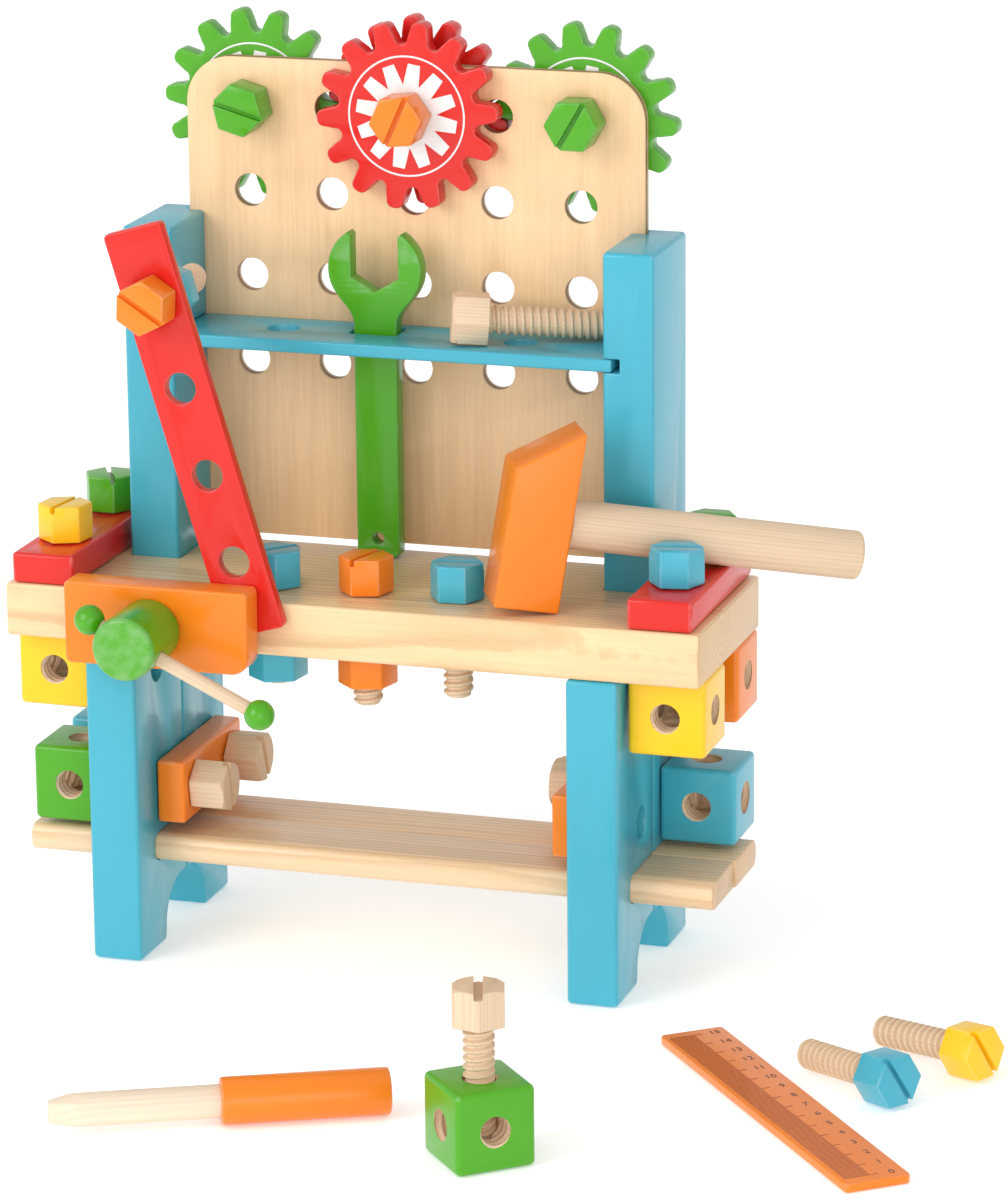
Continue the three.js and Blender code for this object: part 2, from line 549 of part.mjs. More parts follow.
function ruler() {
  const { length, width, thickness } = RULER;
  const mesh = meshOf('ruler', plate(roundedOutline(-length / 2, -width / 2, length / 2, width / 2, 2), 0, thickness, 3), 'orange');
  mesh.position.set(229.9, -102.6, 0);
  mesh.rotation.z = degrees(-50.8);
  return mesh;
}

function looseOnFloor() {
  const centre = [122, -190];
  return [
    screwdriver(),
    ruler(),
    cube('cube_loose_green', 'green', [...centre, CUBE / 2], degrees(41)),
    bolt('bolt_loose_cube', 'beech', LONG_SHANK, [...centre, CUBE + 24], UP, 107.5),
    lyingBolt('bolt_loose_blue', 'blue', SHORT_SHANK, [264.4, -76.5], 0, -36.4),
    lyingBolt('bolt_loose_yellow', 'yellow', SHORT_SHANK, [291.6, -35.1], 0, -29.9),
  ];
}

// ---------- the bench ----------
const bench = new THREE.Group();
bench.add(
  worktop(),
  lowerShelfBoard('lower_shelf_front', LOWER_SHELF.front, LOWER_SHELF.seam, true, 0),
  lowerShelfBoard('lower_shelf_rear', LOWER_SHELF.seam + GAP, LOWER_SHELF.back, false, 1),
  legFront('left_leg_front', -1),
  legFront('right_leg_front', 1),
  upright('left_upright', -1),
  upright('right_upright', 1),
  panel(),
  upperShelf(),
  endBlock('left_end_block', -1),
  endBlock('right_end_block', 1),
  tieBeam('left_tie_beam', -1),
  tieBeam('right_tie_beam', 1),
  ...worktopFasteners(),
  ...legFasteners(),
  ...gearTrain(),
  ...vise(),
  ...strip(),
  spanner(),
  lyingBolt('bolt_on_upper_shelf', 'beech', LONG_SHANK, [44, 79], UPPER_SHELF.bottom + UPPER_SHELF.thickness + GAP, 200),
  hammer(),
  ...looseOnFloor(),
);
bench.updateMatrixWorld(true);
const room = new THREE.Box3().setFromObject(bench, true);
const middle = room.getCenter(new THREE.Vector3());
bench.position.set(-middle.x, -middle.y, -room.min.z);

const part = new THREE.Group();
part.add(bench);
part.updateMatrixWorld(true);

export default part;
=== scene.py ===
"""A wooden toy workbench: painted boards, threaded bolts, gears, a vise and loose tools."""

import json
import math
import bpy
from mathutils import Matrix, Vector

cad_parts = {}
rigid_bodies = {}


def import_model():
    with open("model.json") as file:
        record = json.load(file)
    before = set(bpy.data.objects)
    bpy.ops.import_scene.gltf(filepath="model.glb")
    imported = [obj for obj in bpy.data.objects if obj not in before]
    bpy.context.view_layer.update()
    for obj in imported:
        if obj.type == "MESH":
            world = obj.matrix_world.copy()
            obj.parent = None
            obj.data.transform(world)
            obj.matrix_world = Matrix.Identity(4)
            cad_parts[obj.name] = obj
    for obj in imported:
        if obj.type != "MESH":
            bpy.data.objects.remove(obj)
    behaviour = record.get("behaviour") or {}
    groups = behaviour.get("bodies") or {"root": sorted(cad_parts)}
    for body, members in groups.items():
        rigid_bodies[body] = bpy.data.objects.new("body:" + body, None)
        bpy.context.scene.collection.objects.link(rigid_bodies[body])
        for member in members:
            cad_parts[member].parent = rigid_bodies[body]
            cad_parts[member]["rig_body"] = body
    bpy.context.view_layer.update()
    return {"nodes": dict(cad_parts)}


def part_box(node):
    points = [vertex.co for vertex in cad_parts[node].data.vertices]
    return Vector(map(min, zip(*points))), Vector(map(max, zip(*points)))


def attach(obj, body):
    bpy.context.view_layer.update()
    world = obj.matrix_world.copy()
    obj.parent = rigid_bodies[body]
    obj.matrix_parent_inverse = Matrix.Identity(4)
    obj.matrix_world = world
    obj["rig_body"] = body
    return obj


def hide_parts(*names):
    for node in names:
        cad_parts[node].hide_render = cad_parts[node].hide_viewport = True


bl_info = {
    "name": "Toy workbench",
    "version": (1, 0, 0),
    "blender": (4, 5, 0),
    "location": "View3D > Sidebar > Workbench",
    "description": "Models the finished pieces of a wooden toy workbench on its frame",
    "category": "Object",
}

import bpy
from bpy.props import FloatProperty, FloatVectorProperty, IntProperty
from mathutils import Matrix, Quaternion, Vector

for left_over in list(bpy.data.objects):
    bpy.data.objects.remove(left_over)
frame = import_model()

MM = 0.001
WORKTOP_LOW, WORKTOP_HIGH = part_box("worktop")
FLOOR_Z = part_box("left_leg_front")[0].z
BENCH_ZERO = Vector(((WORKTOP_LOW.x + WORKTOP_HIGH.x) / 2, WORKTOP_LOW.y, FLOOR_Z))


def at(x, y, z):
    """A place given in millimetres from the floor under the middle of the worktop's front edge."""
    return BENCH_ZERO + Vector((x, y, z)) * MM


# ---------------------------------------------------------------- settings


def colour(name, description, value):
    return FloatVectorProperty(
        name=name, description=description, default=value, size=3, subtype="COLOR", min=0, max=1
    )


def length(name, description, value):
    return FloatProperty(
        name=name, description=description, default=value, min=0, unit="LENGTH", precision=4
    )


def angle(name, description, degrees):
    value = math.radians(degrees)
    return FloatProperty(name=name, description=description, default=value, subtype="ANGLE")


def power(name, description, value):
    return FloatProperty(name=name, description=description, default=value, min=0, unit="POWER")


class FinishSettings(bpy.types.PropertyGroup):
    blue: colour("Blue", "Colour of the blue lacquer", (0.055, 0.41, 0.54))
    green: colour("Green", "Colour of the green lacquer", (0.072, 0.365, 0.005))
    red: colour("Red", "Colour of the red lacquer", (0.69, 0.014, 0.008))
    orange: colour("Orange", "Colour of the orange lacquer", (0.87, 0.215, 0.007))
    yellow: colour("Yellow", "Colour of the yellow lacquer", (0.97, 0.58, 0.008))
    gloss: FloatProperty(
        name="Lacquer gloss", description="Strength of the clear coat", default=0.42, min=0, max=1
    )


class WoodSettings(bpy.types.PropertyGroup):
    edge: length("Edge rounding", "Rounding along the boards' edges", 1.6 * MM)
    rim: length("Rim easing", "Rounding round the holes", 0.45 * MM)
    stave: length("Stave width", "Width of the staves in the shelf boards", 13 * MM)
    ring: length("Year ring", "Spacing of the pine's year rings", 4.2 * MM)


class BoltSettings(bpy.types.PropertyGroup):
    flats: length("Head across flats", "Width of a bolt's hexagon head", 22 * MM)
    head: length("Head height", "Height of a bolt's head", 17 * MM)
    shank: length("Shank diameter", "Diameter over the thread's crests", 13.6 * MM)
    root: length("Thread root", "Diameter at the bottom of the thread", 11.1 * MM)
    pitch: length("Thread pitch", "Rise of the thread in one turn", 3.7 * MM)
    slot: length("Slot width", "Width of the slot in a bolt's head", 2.4 * MM)
    nut: length("Nut across flats", "Width of a nut", 24 * MM)
    cube: length("Cube", "Edge of a threaded cube", 36 * MM)


class GearSettings(bpy.types.PropertyGroup):
    teeth: IntProperty(name="Teeth", description="Teeth on a gear", default=14, min=6, max=40)
    root: length("Root radius", "Radius between the teeth", 33 * MM)
    tip: length("Tip radius", "Radius over the teeth", 43.6 * MM)
    thickness: length("Thickness", "Thickness of a gear", 9.4 * MM)
    print_ring: length("Printed ring", "Radius of the printed ring", 27.6 * MM)
    print_star: length("Printed star", "Radius of the printed star", 24.4 * MM)


class StageSettings(bpy.types.PropertyGroup):
    lens: FloatProperty(
        name="Lens", description="Focal length", default=160.1, min=10, unit="CAMERA"
    )
    turn: angle("Turn", "Turn to the right", 17.49)
    pitch: angle("Look down", "Angle below level", 15.70)
    roll: angle("Roll", "Lean of the camera", -0.53)
    key: power("Key light", "Power of the key light", 17)
    fill: power("Fill light", "Power of the fill light", 10)
    room: FloatProperty(
        name="Room light", description="Strength of the even light", default=0.80, min=0
    )


# ---------------------------------------------------------------- finishes


class Recipe:
    """A material's nodes, added one after another."""

    def __init__(self, name):
        self.material = bpy.data.materials.new(name)
        self.material.use_nodes = True
        self.nodes = self.material.node_tree.nodes
        self.links = self.material.node_tree.links
        self.nodes.clear()
        self.output = self.nodes.new("ShaderNodeOutputMaterial")

    def add(self, kind, inputs=None, **settings):
        node = self.nodes.new("ShaderNode" + kind)
        for key, value in settings.items():
            setattr(node, key, value)
        for key, value in (inputs or {}).items():
            if isinstance(value, bpy.types.NodeSocket):
                self.links.new(value, node.inputs[key])
            else:
                node.inputs[key].default_value = value
        return node

    def math(self, operation, first, second=0.0, third=0.0):
        return self.add("Math", {0: first, 1: second, 2: third}, operation=operation).outputs[0]

    def vector(self, operation, first, second):
        return self.add("VectorMath", {0: first, 1: second}, operation=operation).outputs[0]

    def mix(self, factor, first, second, blend="MIX"):
        node = self.add("Mix", data_type="RGBA", blend_type=blend)
        for number, value in ((0, factor), (6, first), (7, second)):
            socket = node.inputs[number]
            if isinstance(value, bpy.types.NodeSocket):
                self.links.new(value, socket)
            else:
                socket.default_value = value if socket.type == "VALUE" else (*value[:3], 1)
        return node.outputs[2]

    def dimmed(self, tint, shade):
        grey = self.add("CombineColor", {0: shade, 1: shade, 2: shade}).outputs[0]
        return self.mix(1.0, tint, grey, "MULTIPLY")

    def stretched(self, scale, vector=None):
        """The grain's own coordinates, x along the grain, squeezed by a scale per axis."""
        vector = vector or self.grain
        return self.add("Mapping", {"Vector": vector, "Scale": scale}).outputs[0]

    def noise(self, scale, detail=2.0, roughness=0.5, vector=None):
        return self.add(
            "TexNoise",
            {
                "Vector": self.stretched(scale, vector),
                "Scale": 1.0,
                "Detail": detail,
                "Roughness": roughness,
            },
        ).outputs["Fac"]

    def span(self, value, low, high, new_low, new_high):
        return self.add(
            "MapRange",
            {
                "Value": value,
                "From Min": low,
                "From Max": high,
                "To Min": new_low,
                "To Max": new_high,
            },
        ).outputs[0]

    @property
    def grain(self):
        if not hasattr(self, "_grain"):
            self._grain = self.add("Attribute", attribute_name="grain").outputs["Vector"]
        return self._grain

    def done(self, shader):
        self.links.new(shader.outputs[0], self.output.inputs["Surface"])
        return self.material


def lacquer(name, tint, gloss):
    """Glossy paint over sanded wood: the grain shows faintly and the rounded edges get a painted
    highlight, paler in patches.
    """
    r = Recipe(name)
    broad = r.span(r.noise((14, 30, 30), 2), 0.3, 0.7, 0.965, 1.02)
    streak = r.span(r.noise((35, 650, 650), 3, 0.6), 0.3, 0.7, 0.98, 1.015)
    shade = r.math("MULTIPLY", broad, streak)
    base = r.dimmed(tint, shade)
    # painted highlight: the points on the rounded edges are mixed, in patches, towards a paler tint
    edge_highlight_mask = r.add("Attribute", attribute_name="edge").outputs["Fac"]
    highlight_amount = r.math("MULTIPLY", edge_highlight_mask, r.span(r.noise((180, 180, 180), 3), 0.35, 0.7, 0.04, 0.30))
    pale = tuple(0.35 + 0.65 * c for c in tint)
    base = r.mix(highlight_amount, base, pale)
    rough = r.span(r.noise((45, 300, 300), 4, 0.6), 0.3, 0.7, 0.30, 0.38)
    fibre = r.noise((40, 900, 900), 4, 0.65)
    peel = r.noise((420, 420, 420), 2)
    height = r.math("MULTIPLY_ADD", peel, 0.45, fibre)
    bump = r.add("Bump", {"Height": height, "Strength": 0.07, "Distance": 0.0003})
    shader = r.add(
        "BsdfPrincipled",
        {
            "Base Color": base,
            "Roughness": rough,
            "Normal": bump.outputs[0],
            "Specular IOR Level": 0.25,
            "Coat Weight": gloss,
            "Coat Roughness": 0.16,
        },
    )
    return r.done(shader)


def timber(name, light, dark, ring, contrast, stave=None, gloss=0.0, rough=0.5):
    """Solid wood: year rings round a far-off heart, fibres along the grain, changes of tone."""
    r = Recipe(name)
    place = r.grain
    tone = r.noise((7, 22, 22), 2)
    if stave:
        parts = r.add("SeparateXYZ", {0: r.grain})
        across = r.math("DIVIDE", parts.outputs[1], stave)
        number = r.math("FLOOR", across)
        pick = r.add("TexWhiteNoise", {"W": number}, noise_dimensions="1D")
        shift = r.vector("MULTIPLY", pick.outputs["Color"], (0.4, 0.05, 0.03))
        place = r.vector("ADD", r.grain, shift)
        inside = r.math("PINGPONG", across, 0.5)
        seam = r.span(inside, 0.0, 0.035, 1.0, 0.0)
        tone = r.math("MULTIPLY_ADD", pick.outputs["Value"], 0.7, r.math("MULTIPLY", tone, 0.4))
    swayed = {"Vector": r.stretched((5, 24, 24), place), "Scale": 1.0, "Detail": 2.0}
    sway = r.add("TexNoise", swayed).outputs["Color"]
    offset = r.vector("SUBTRACT", sway, (0.5, 0.5, 0.5))
    offset = r.vector("MULTIPLY", offset, (0.0, 3.2 * ring, 3.2 * ring))
    rings_at = r.vector("ADD", place, offset)
    wave = r.add(
        "TexWave",
        {
            "Vector": rings_at,
            "Scale": 0.314 / ring,
            "Distortion": 0.6,
            "Detail": 2.0,
            "Detail Scale": 2.0,
        },
        wave_type="RINGS",
        rings_direction="X",
        wave_profile="SAW",
    ).outputs["Fac"]
    ramp = r.add("ValToRGB", {0: wave})
    stops = ramp.color_ramp.elements
    stops[0].position, stops[0].color = 0.0, (0.12, 0.12, 0.12, 1)
    stops[1].position, stops[1].color = 1.0, (0.0, 0.0, 0.0, 1)
    for position, value in ((0.45, 0.18), (0.82, 1.0), (0.94, 0.75)):
        stop = stops.new(position)
        stop.color = (value, value, value, 1)
    late = r.math("MULTIPLY", ramp.outputs[0], contrast)
    fibre = r.noise((16, 620, 620), 4, 0.65, place)
    pore = r.noise((60, 1500, 1500), 2, 0.5, place)
    base = r.mix(late, light, dark)
    shade = r.math(
        "MULTIPLY", r.span(fibre, 0.3, 0.7, 0.93, 1.04), r.span(tone, 0.25, 0.75, 0.91, 1.05)
    )
    shade = r.math("MULTIPLY", shade, r.span(pore, 0.35, 0.65, 0.975, 1.01))
    if stave:
        shade = r.math("MULTIPLY", shade, r.span(seam, 0, 1, 1.0, 0.80))
    base = r.dimmed(base, shade)
    end = r.add("Attribute", attribute_name="end").outputs["Fac"]
    base = r.mix(r.math("MULTIPLY", end, 0.45), base, dark)
    roughness = r.span(fibre, 0.3, 0.7, rough - 0.06, rough + 0.08)
    roughness = r.math("MULTIPLY_ADD", end, 0.1, roughness)
    height = r.math("MULTIPLY_ADD", ramp.outputs[0], 0.35, fibre)
    bump = r.add("Bump", {"Height": height, "Strength": 0.16, "Distance": 0.0003})
    shader = r.add(
        "BsdfPrincipled",
        {
            "Base Color": base,
            "Roughness": roughness,
            "Normal": bump.outputs[0],
            "Coat Weight": gloss,
            "Coat Roughness": 0.2,
        },
    )
    return r.done(shader)


def ply_edge(name, light, dark, layers, thickness):
    """The cut edge of a board of glued veneers: pale and brown bands across its thickness."""
    r = Recipe(name)
    depth = r.add("SeparateXYZ", {0: r.grain}).outputs[2]
    band = r.math("PINGPONG", r.math("MULTIPLY", depth, layers / thickness), 1.0)
    dark_band = r.span(band, 0.42, 0.58, 0.0, 1.0)
    base = r.mix(dark_band, light, dark)
    mottled = r.span(r.noise((300, 300, 900), 3), 0.3, 0.7, 0.82, 1.05)
    base = r.dimmed(base, mottled)
    bump = r.add("Bump", {"Height": band, "Strength": 0.3, "Distance": 0.0002})
    settings = {"Base Color": base, "Roughness": 0.62, "Normal": bump.outputs[0]}
    shader = r.add("BsdfPrincipled", settings)
    return r.done(shader)


def ink(name, tint):
    """A thin screen print with a slightly broken surface."""
    r = Recipe(name)
    patch = r.span(r.noise((500, 500, 500), 3), 0.3, 0.7, 0.90, 1.0)
    base = r.dimmed(tint, patch)
    shader = r.add(
        "BsdfPrincipled",
        {"Base Color": base, "Roughness": r.span(patch, 0.9, 1.0, 0.5, 0.32), "Coat Weight": 0.3},
    )
    return r.done(shader)


def make_finishes():
    f = bpy.context.scene.bench_finish
    w = bpy.context.scene.bench_wood
    made = {
        tint: lacquer(f"{tint} lacquer", tuple(getattr(f, tint)), f.gloss)
        for tint in ("blue", "green", "red", "orange", "yellow")
    }
    tones = {
        "pine": ((0.89, 0.65, 0.37), (0.60, 0.34, 0.14)),
        "shelf pine": ((0.84, 0.60, 0.37), (0.56, 0.33, 0.15)),
        "beech": ((0.80, 0.60, 0.41), (0.60, 0.40, 0.24)),
        "pale beech": ((0.88, 0.73, 0.56), (0.72, 0.54, 0.38)),
        "plywood": ((0.91, 0.60, 0.34), (0.76, 0.46, 0.23)),
    }
    for finish, ring, contrast, stave, gloss, rough in (
        ("pine", w.ring, 0.55, None, 0.35, 0.36),
        ("shelf pine", w.ring, 0.5, w.stave, 0.3, 0.38),
        ("beech", 1.6 * MM, 0.35, None, 0.0, 0.55),
        ("pale beech", 2.4 * MM, 0.3, None, 0.0, 0.5),
        ("plywood", 9 * MM, 0.22, None, 0.15, 0.45),
    ):
        light, dark = tones[finish]
        made[finish] = timber(finish.title(), light, dark, ring, contrast, stave, gloss, rough)
    made["ply edge"] = ply_edge("Plywood edge", (0.66, 0.45, 0.26), (0.26, 0.14, 0.07), 3, 6 * MM)
    made["white ink"] = ink("White print", (0.86, 0.86, 0.86))
    made["brown ink"] = ink("Brown print", (0.10, 0.035, 0.02))
    made["brick ink"] = ink("Brick print", (0.34, 0.075, 0.02))
    return made


FINISH = {}
SLOTS = {
    "blue": "blue_lacquer",
    "green": "green_lacquer",
    "red": "red_lacquer",
    "orange": "orange_lacquer",
    "yellow": "yellow_lacquer",
    "pine": "pine",
    "shelf pine": "pine",
    "beech": "beech",
    "pale beech": "beech",
    "plywood": "plywood",
}


# ---------------------------------------------------------------- workshop


def alone(piece):
    if bpy.context.mode != "OBJECT":
        bpy.ops.object.mode_set(mode="OBJECT")
    bpy.ops.object.select_all(action="DESELECT")
    piece.select_set(True)
    bpy.context.view_layer.objects.active = piece
    return piece


def added(name):
    """The primitive that was just added, with its place in its mesh."""
    piece = alone(bpy.context.active_object)
    piece.name = name
    bpy.ops.object.transform_apply(location=True, rotation=True, scale=True)
    return piece


def placed(piece, matrix):
    """Moves the mesh of a piece, so that the piece itself stays at the origin."""
    piece.matrix_world = matrix
    alone(piece)
    bpy.ops.object.transform_apply(location=True, rotation=True, scale=True)
    return piece


def edit(piece, operation, pick=None, kind="EDGE", **settings):
    """Runs one edit-mode operator on the picked elements, or on all of them."""
    alone(piece)
    bpy.ops.object.mode_set(mode="EDIT")
    bpy.ops.mesh.select_mode(type=kind)
    bpy.ops.mesh.select_all(action="SELECT" if pick is None else "DESELECT")
    if pick is not None:
        bpy.ops.object.mode_set(mode="OBJECT")
        mesh = piece.data
        group = {"VERT": mesh.vertices, "EDGE": mesh.edges, "FACE": mesh.polygons}[kind]
        for element in group:
            element.select = bool(pick(mesh, element))
        bpy.ops.object.mode_set(mode="EDIT")
    operation(**settings)
    bpy.ops.object.mode_set(mode="OBJECT")
    return piece


def runs_along(axis):
    def pick(mesh, e):
        a, b = (mesh.vertices[i].co for i in e.vertices)
        return abs((b - a).normalized()[axis]) > 0.99

    return pick


def bevel(piece, pick, width, steps):
    return edit(piece, bpy.ops.mesh.bevel, pick, offset=width, segments=steps, affect="EDGES")


def block(name, low, high, rounding=0.0, steps=3):
    low, high = Vector(low), Vector(high)
    bpy.ops.mesh.primitive_cube_add(size=1, location=(low + high) / 2, scale=high - low)
    piece = added(name)
    if rounding:
        bevel(piece, None, rounding, steps)
    return piece


def rounded_plate(name, low, high, axis, corner, rounding, corner_steps=8, steps=3):
    """A plate with round corners seen along one axis and softened edges."""
    piece = block(name, low, high)
    bevel(piece, runs_along(axis), corner, corner_steps)
    soften(piece, rounding, steps, 40)
    return piece


def rod(name, start, end, diameter, sides=48, rounding=0.0, steps=3):
    start, end = Vector(start), Vector(end)
    bpy.ops.mesh.primitive_cylinder_add(
        vertices=sides,
        radius=diameter / 2,
        depth=(end - start).length,
        location=(start + end) / 2,
        rotation=(end - start).to_track_quat("Z", "Y").to_euler(),
    )
    piece = added(name)
    if rounding:
        soften(piece, rounding, steps, 50)
    return piece


def apply_modifier(piece, kind, **settings):
    alone(piece)
    modifier = piece.modifiers.new(kind.title(), kind)
    for key, value in settings.items():
        setattr(modifier, key, value)
    bpy.ops.object.modifier_apply(modifier=modifier.name)
    return piece


def soften(piece, width, steps=2, angle=50):
    """Rounds the edges sharper than an angle."""
    return apply_modifier(
        piece,
        "BEVEL",
        width=width,
        segments=steps,
        limit_method="ANGLE",
        angle_limit=math.radians(angle),
        use_clamp_overlap=False,
        miter_outer="MITER_SHARP",
    )


def joined(pieces):
    alone(pieces[0])
    for piece in pieces[1:]:
        piece.select_set(True)
    if len(pieces) > 1:
        bpy.ops.object.join()
    return pieces[0]


def cut(piece, tools, operation="DIFFERENCE"):
    """Cuts the tools out of a piece, or adds them to it, and throws them away."""
    tools = joined(tools) if isinstance(tools, list) else tools
    settings = {"operation": operation, "solver": "EXACT"}
    settings["material_mode"] = "TRANSFER" if tools.data.materials else "INDEX"
    apply_modifier(piece, "BOOLEAN", object=tools, **settings)
    bpy.data.objects.remove(tools)
    return piece


def paint(piece, finish):
    piece.data.materials.clear()
    piece.data.materials.append(FINISH[finish])
    return piece


def outline(name, points):
    """A chain of edges drawn point by point in the x-z plane."""
    bpy.ops.mesh.primitive_plane_add(size=2 * MM)
    piece = added(name)
    first, rest = Vector(points[0]), points[1:]
    bpy.ops.object.mode_set(mode="EDIT")
    bpy.ops.mesh.select_mode(type="VERT")
    bpy.ops.mesh.select_all(action="SELECT")
    bpy.ops.mesh.merge(type="CENTER")
    bpy.ops.transform.translate(value=first)
    here = first
    for point in rest:
        step = Vector(point) - here
        bpy.ops.mesh.extrude_vertices_move(TRANSFORM_OT_translate={"value": step})
        here = Vector(point)
    bpy.ops.object.mode_set(mode="OBJECT")
    return piece


def turned(name, profile, sides=56):
    """A piece turned on a lathe about z from (radius, height) pairs."""
    piece = outline(name, [(radius, 0, height) for radius, height in profile])
    apply_modifier(piece, "SCREW", axis="Z", angle=math.tau, steps=sides, render_steps=sides)
    edit(piece, bpy.ops.mesh.remove_doubles, threshold=1e-6)
    edit(piece, bpy.ops.mesh.normals_make_consistent, inside=False)
    return piece


def threaded(name, bottom, top, root, crest, pitch, sides=30, tip=0.0):
    """A rod along z with a rounded wooden thread between two heights."""
    profile = ((root, 0), (root, 0.10), (crest, 0.35), (crest, 0.62), (root, 0.87), (root, 1))
    start = bottom - 1.5 * pitch
    piece = outline(name, [(radius, 0, start + share * pitch) for radius, share in profile])
    turns = math.ceil((top - bottom) / pitch) + 3
    apply_modifier(
        piece,
        "SCREW",
        axis="Z",
        angle=math.tau,
        screw_offset=pitch,
        iterations=turns,
        steps=sides,
        render_steps=sides,
    )
    edit(piece, bpy.ops.mesh.remove_doubles, threshold=2e-6)
    for height, way in ((bottom, -1), (top, 1)):
        edit(
            piece,
            bpy.ops.mesh.bisect,
            plane_co=(0, 0, height),
            plane_no=(0, 0, way),
            use_fill=True,
            clear_outer=True,
        )
    edit(piece, bpy.ops.mesh.normals_make_consistent, inside=False)
    if tip:
        for v in piece.data.vertices:
            reach = root - tip + (v.co.z - bottom) * 1.2
            across = math.hypot(v.co.x, v.co.y)
            if across > reach:
                v.co.x *= reach / across
                v.co.y *= reach / across
    return piece


def drills(places, axis, diameter, reach, sides=40):
    way = Vector((0, 0, 0))
    way[axis] = reach / 2
    return [rod("drill", place - way, place + way, diameter, sides) for place in places]


def mark_edges(piece):
    """Marks the points inside rounded edges, where the lacquer gets a painted highlight."""
    mesh = piece.data
    flat = set()
    for face in mesh.polygons:
        if face.area > 9e-6:
            flat.update(face.vertices)
    layer = mesh.attributes.new("edge", "FLOAT", "POINT")
    layer.data.foreach_set("value", [0.0 if v.index in flat else 1.0 for v in mesh.vertices])


seen = [0]


def grain(piece, along, heart=(0.0, 0.0)):
    """Gives a piece its own cut of wood: x runs along the grain, from a place in the tree."""
    seen[0] += 1
    number = seen[0]
    order = {"X": (0, 1, 2), "Y": (1, 2, 0), "Z": (2, 0, 1)}[along]
    shift = Vector((0.37 * number % 3, heart[0], heart[1]))
    if heart == (0.0, 0.0):
        shift.y = 0.013 + 0.0071 * (number * 7 % 11)
        shift.z = -0.021 - 0.0053 * (number * 5 % 13)
    layer = piece.data.attributes.new("grain", "FLOAT_VECTOR", "POINT")
    values = []
    for v in piece.data.vertices:
        values.extend(v.co[axis] + shift[i] for i, axis in enumerate(order))
    layer.data.foreach_set("vector", values)
    ends = piece.data.attributes.new("end", "FLOAT", "FACE")
    crosswise = [float(abs(face.normal[order[0]]) > 0.7) for face in piece.data.polygons]
    ends.data.foreach_set("value", crosswise)
    return piece


def smooth(piece, angle=34):
    alone(piece)
    bpy.ops.object.shade_smooth_by_angle(angle=math.radians(angle))
    return piece


def settle(piece, node, finish, matrix=None, name=None, slot=None):
    """Puts a finished piece in its place on the CAD body that its node rides on."""
    alone(piece)
    piece.name = name or node + "_finished"
    if not piece.data.materials:
        paint(piece, finish)
    if matrix is not None:
        placed(piece, matrix)
    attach(piece, frame["nodes"][node]["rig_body"])
    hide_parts(node)
    return piece


def board(piece, node, finish, along="X", heart=(0.0, 0.0), **more):
    """Finishes a piece that lies in its place, or that a matrix puts there."""
    smooth(piece)
    mark_edges(piece)
    grain(piece, along, heart)
    return settle(piece, node, finish, **more)


def copied(master, name):
    alone(master)
    bpy.ops.object.duplicate()
    piece = bpy.context.active_object
    piece.name = name
    return piece


def aimed(seat, way, spin=0.0):
    """Turns a piece made along z so that z points along a way, after a spin in degrees."""
    way = Vector(way).normalized()
    swing = Vector((0, 0, 1)).rotation_difference(way)
    roll = Quaternion((0, 0, 1), math.radians(spin))
    return Matrix.Translation(seat) @ (swing @ roll).to_matrix().to_4x4()


# ---------------------------------------------------------------- boards


# Places on the bench, in millimetres
ROW_FRONT, ROW_REAR, END_X = 30, 87.5, 146.5
PITCH, BOLT_PITCH, AXLE_Z = 40, 43.5, 385.6
TOP, BLOCK_TOP, NUT_SEAT = 178.8, 193.3, 153.2
LEG_IN, LEG_MIDDLE, LEG_OUT = 103, 115, 127
BEAM_ROW, BEAM_HOLE, CUBE_HOLE = 40.5, 76, 135.5
GAP = 0.3 * MM
HOLE = 15.5 * MM


def make_worktop():
    w = bpy.context.scene.bench_wood
    piece = block("worktop", WORKTOP_LOW, WORKTOP_HIGH, w.edge, 4)
    notches = []
    for s in (-1, 1):
        first, last = sorted((s * (LEG_IN - 0.3), s * (LEG_OUT + 0.3)))
        notches.append(block("notch", at(first, 61, 140), at(last, 110, 190)))
    cut(piece, notches)
    places = [at(s * END_X, y, 166) for s in (-1, 1) for y in (ROW_FRONT, ROW_REAR)]
    places += [at(x, ROW_FRONT, 166) for x in (-BOLT_PITCH, 0, BOLT_PITCH)]
    cut(piece, drills(places, 2, HOLE, 40 * MM))
    soften(piece, w.rim, 2, 60)
    board(piece, "worktop", "pine", heart=(-0.069, -0.172))


def arch_tool():
    tool = block("arch", at(-200, 33.5, -20), at(200, 85.5, 27))

    def upper(mesh, e):
        return runs_along(0)(mesh, e) and mesh.vertices[e.vertices[0]].co.z > FLOOR_Z

    bevel(tool, upper, 21 * MM, 10)
    for v in tool.data.vertices:
        if v.co.z < FLOOR_Z:
            v.co.y += math.copysign(5 * MM, v.co.y - at(0, 59.5, 0).y)
    return tool


def shelf_tool():
    low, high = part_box("lower_shelf_front")[0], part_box("lower_shelf_rear")[1]
    around = Vector((50 * MM, GAP, GAP))
    return bevel(block("shelf", low - around, high + around), runs_along(0), 5 * MM, 5)


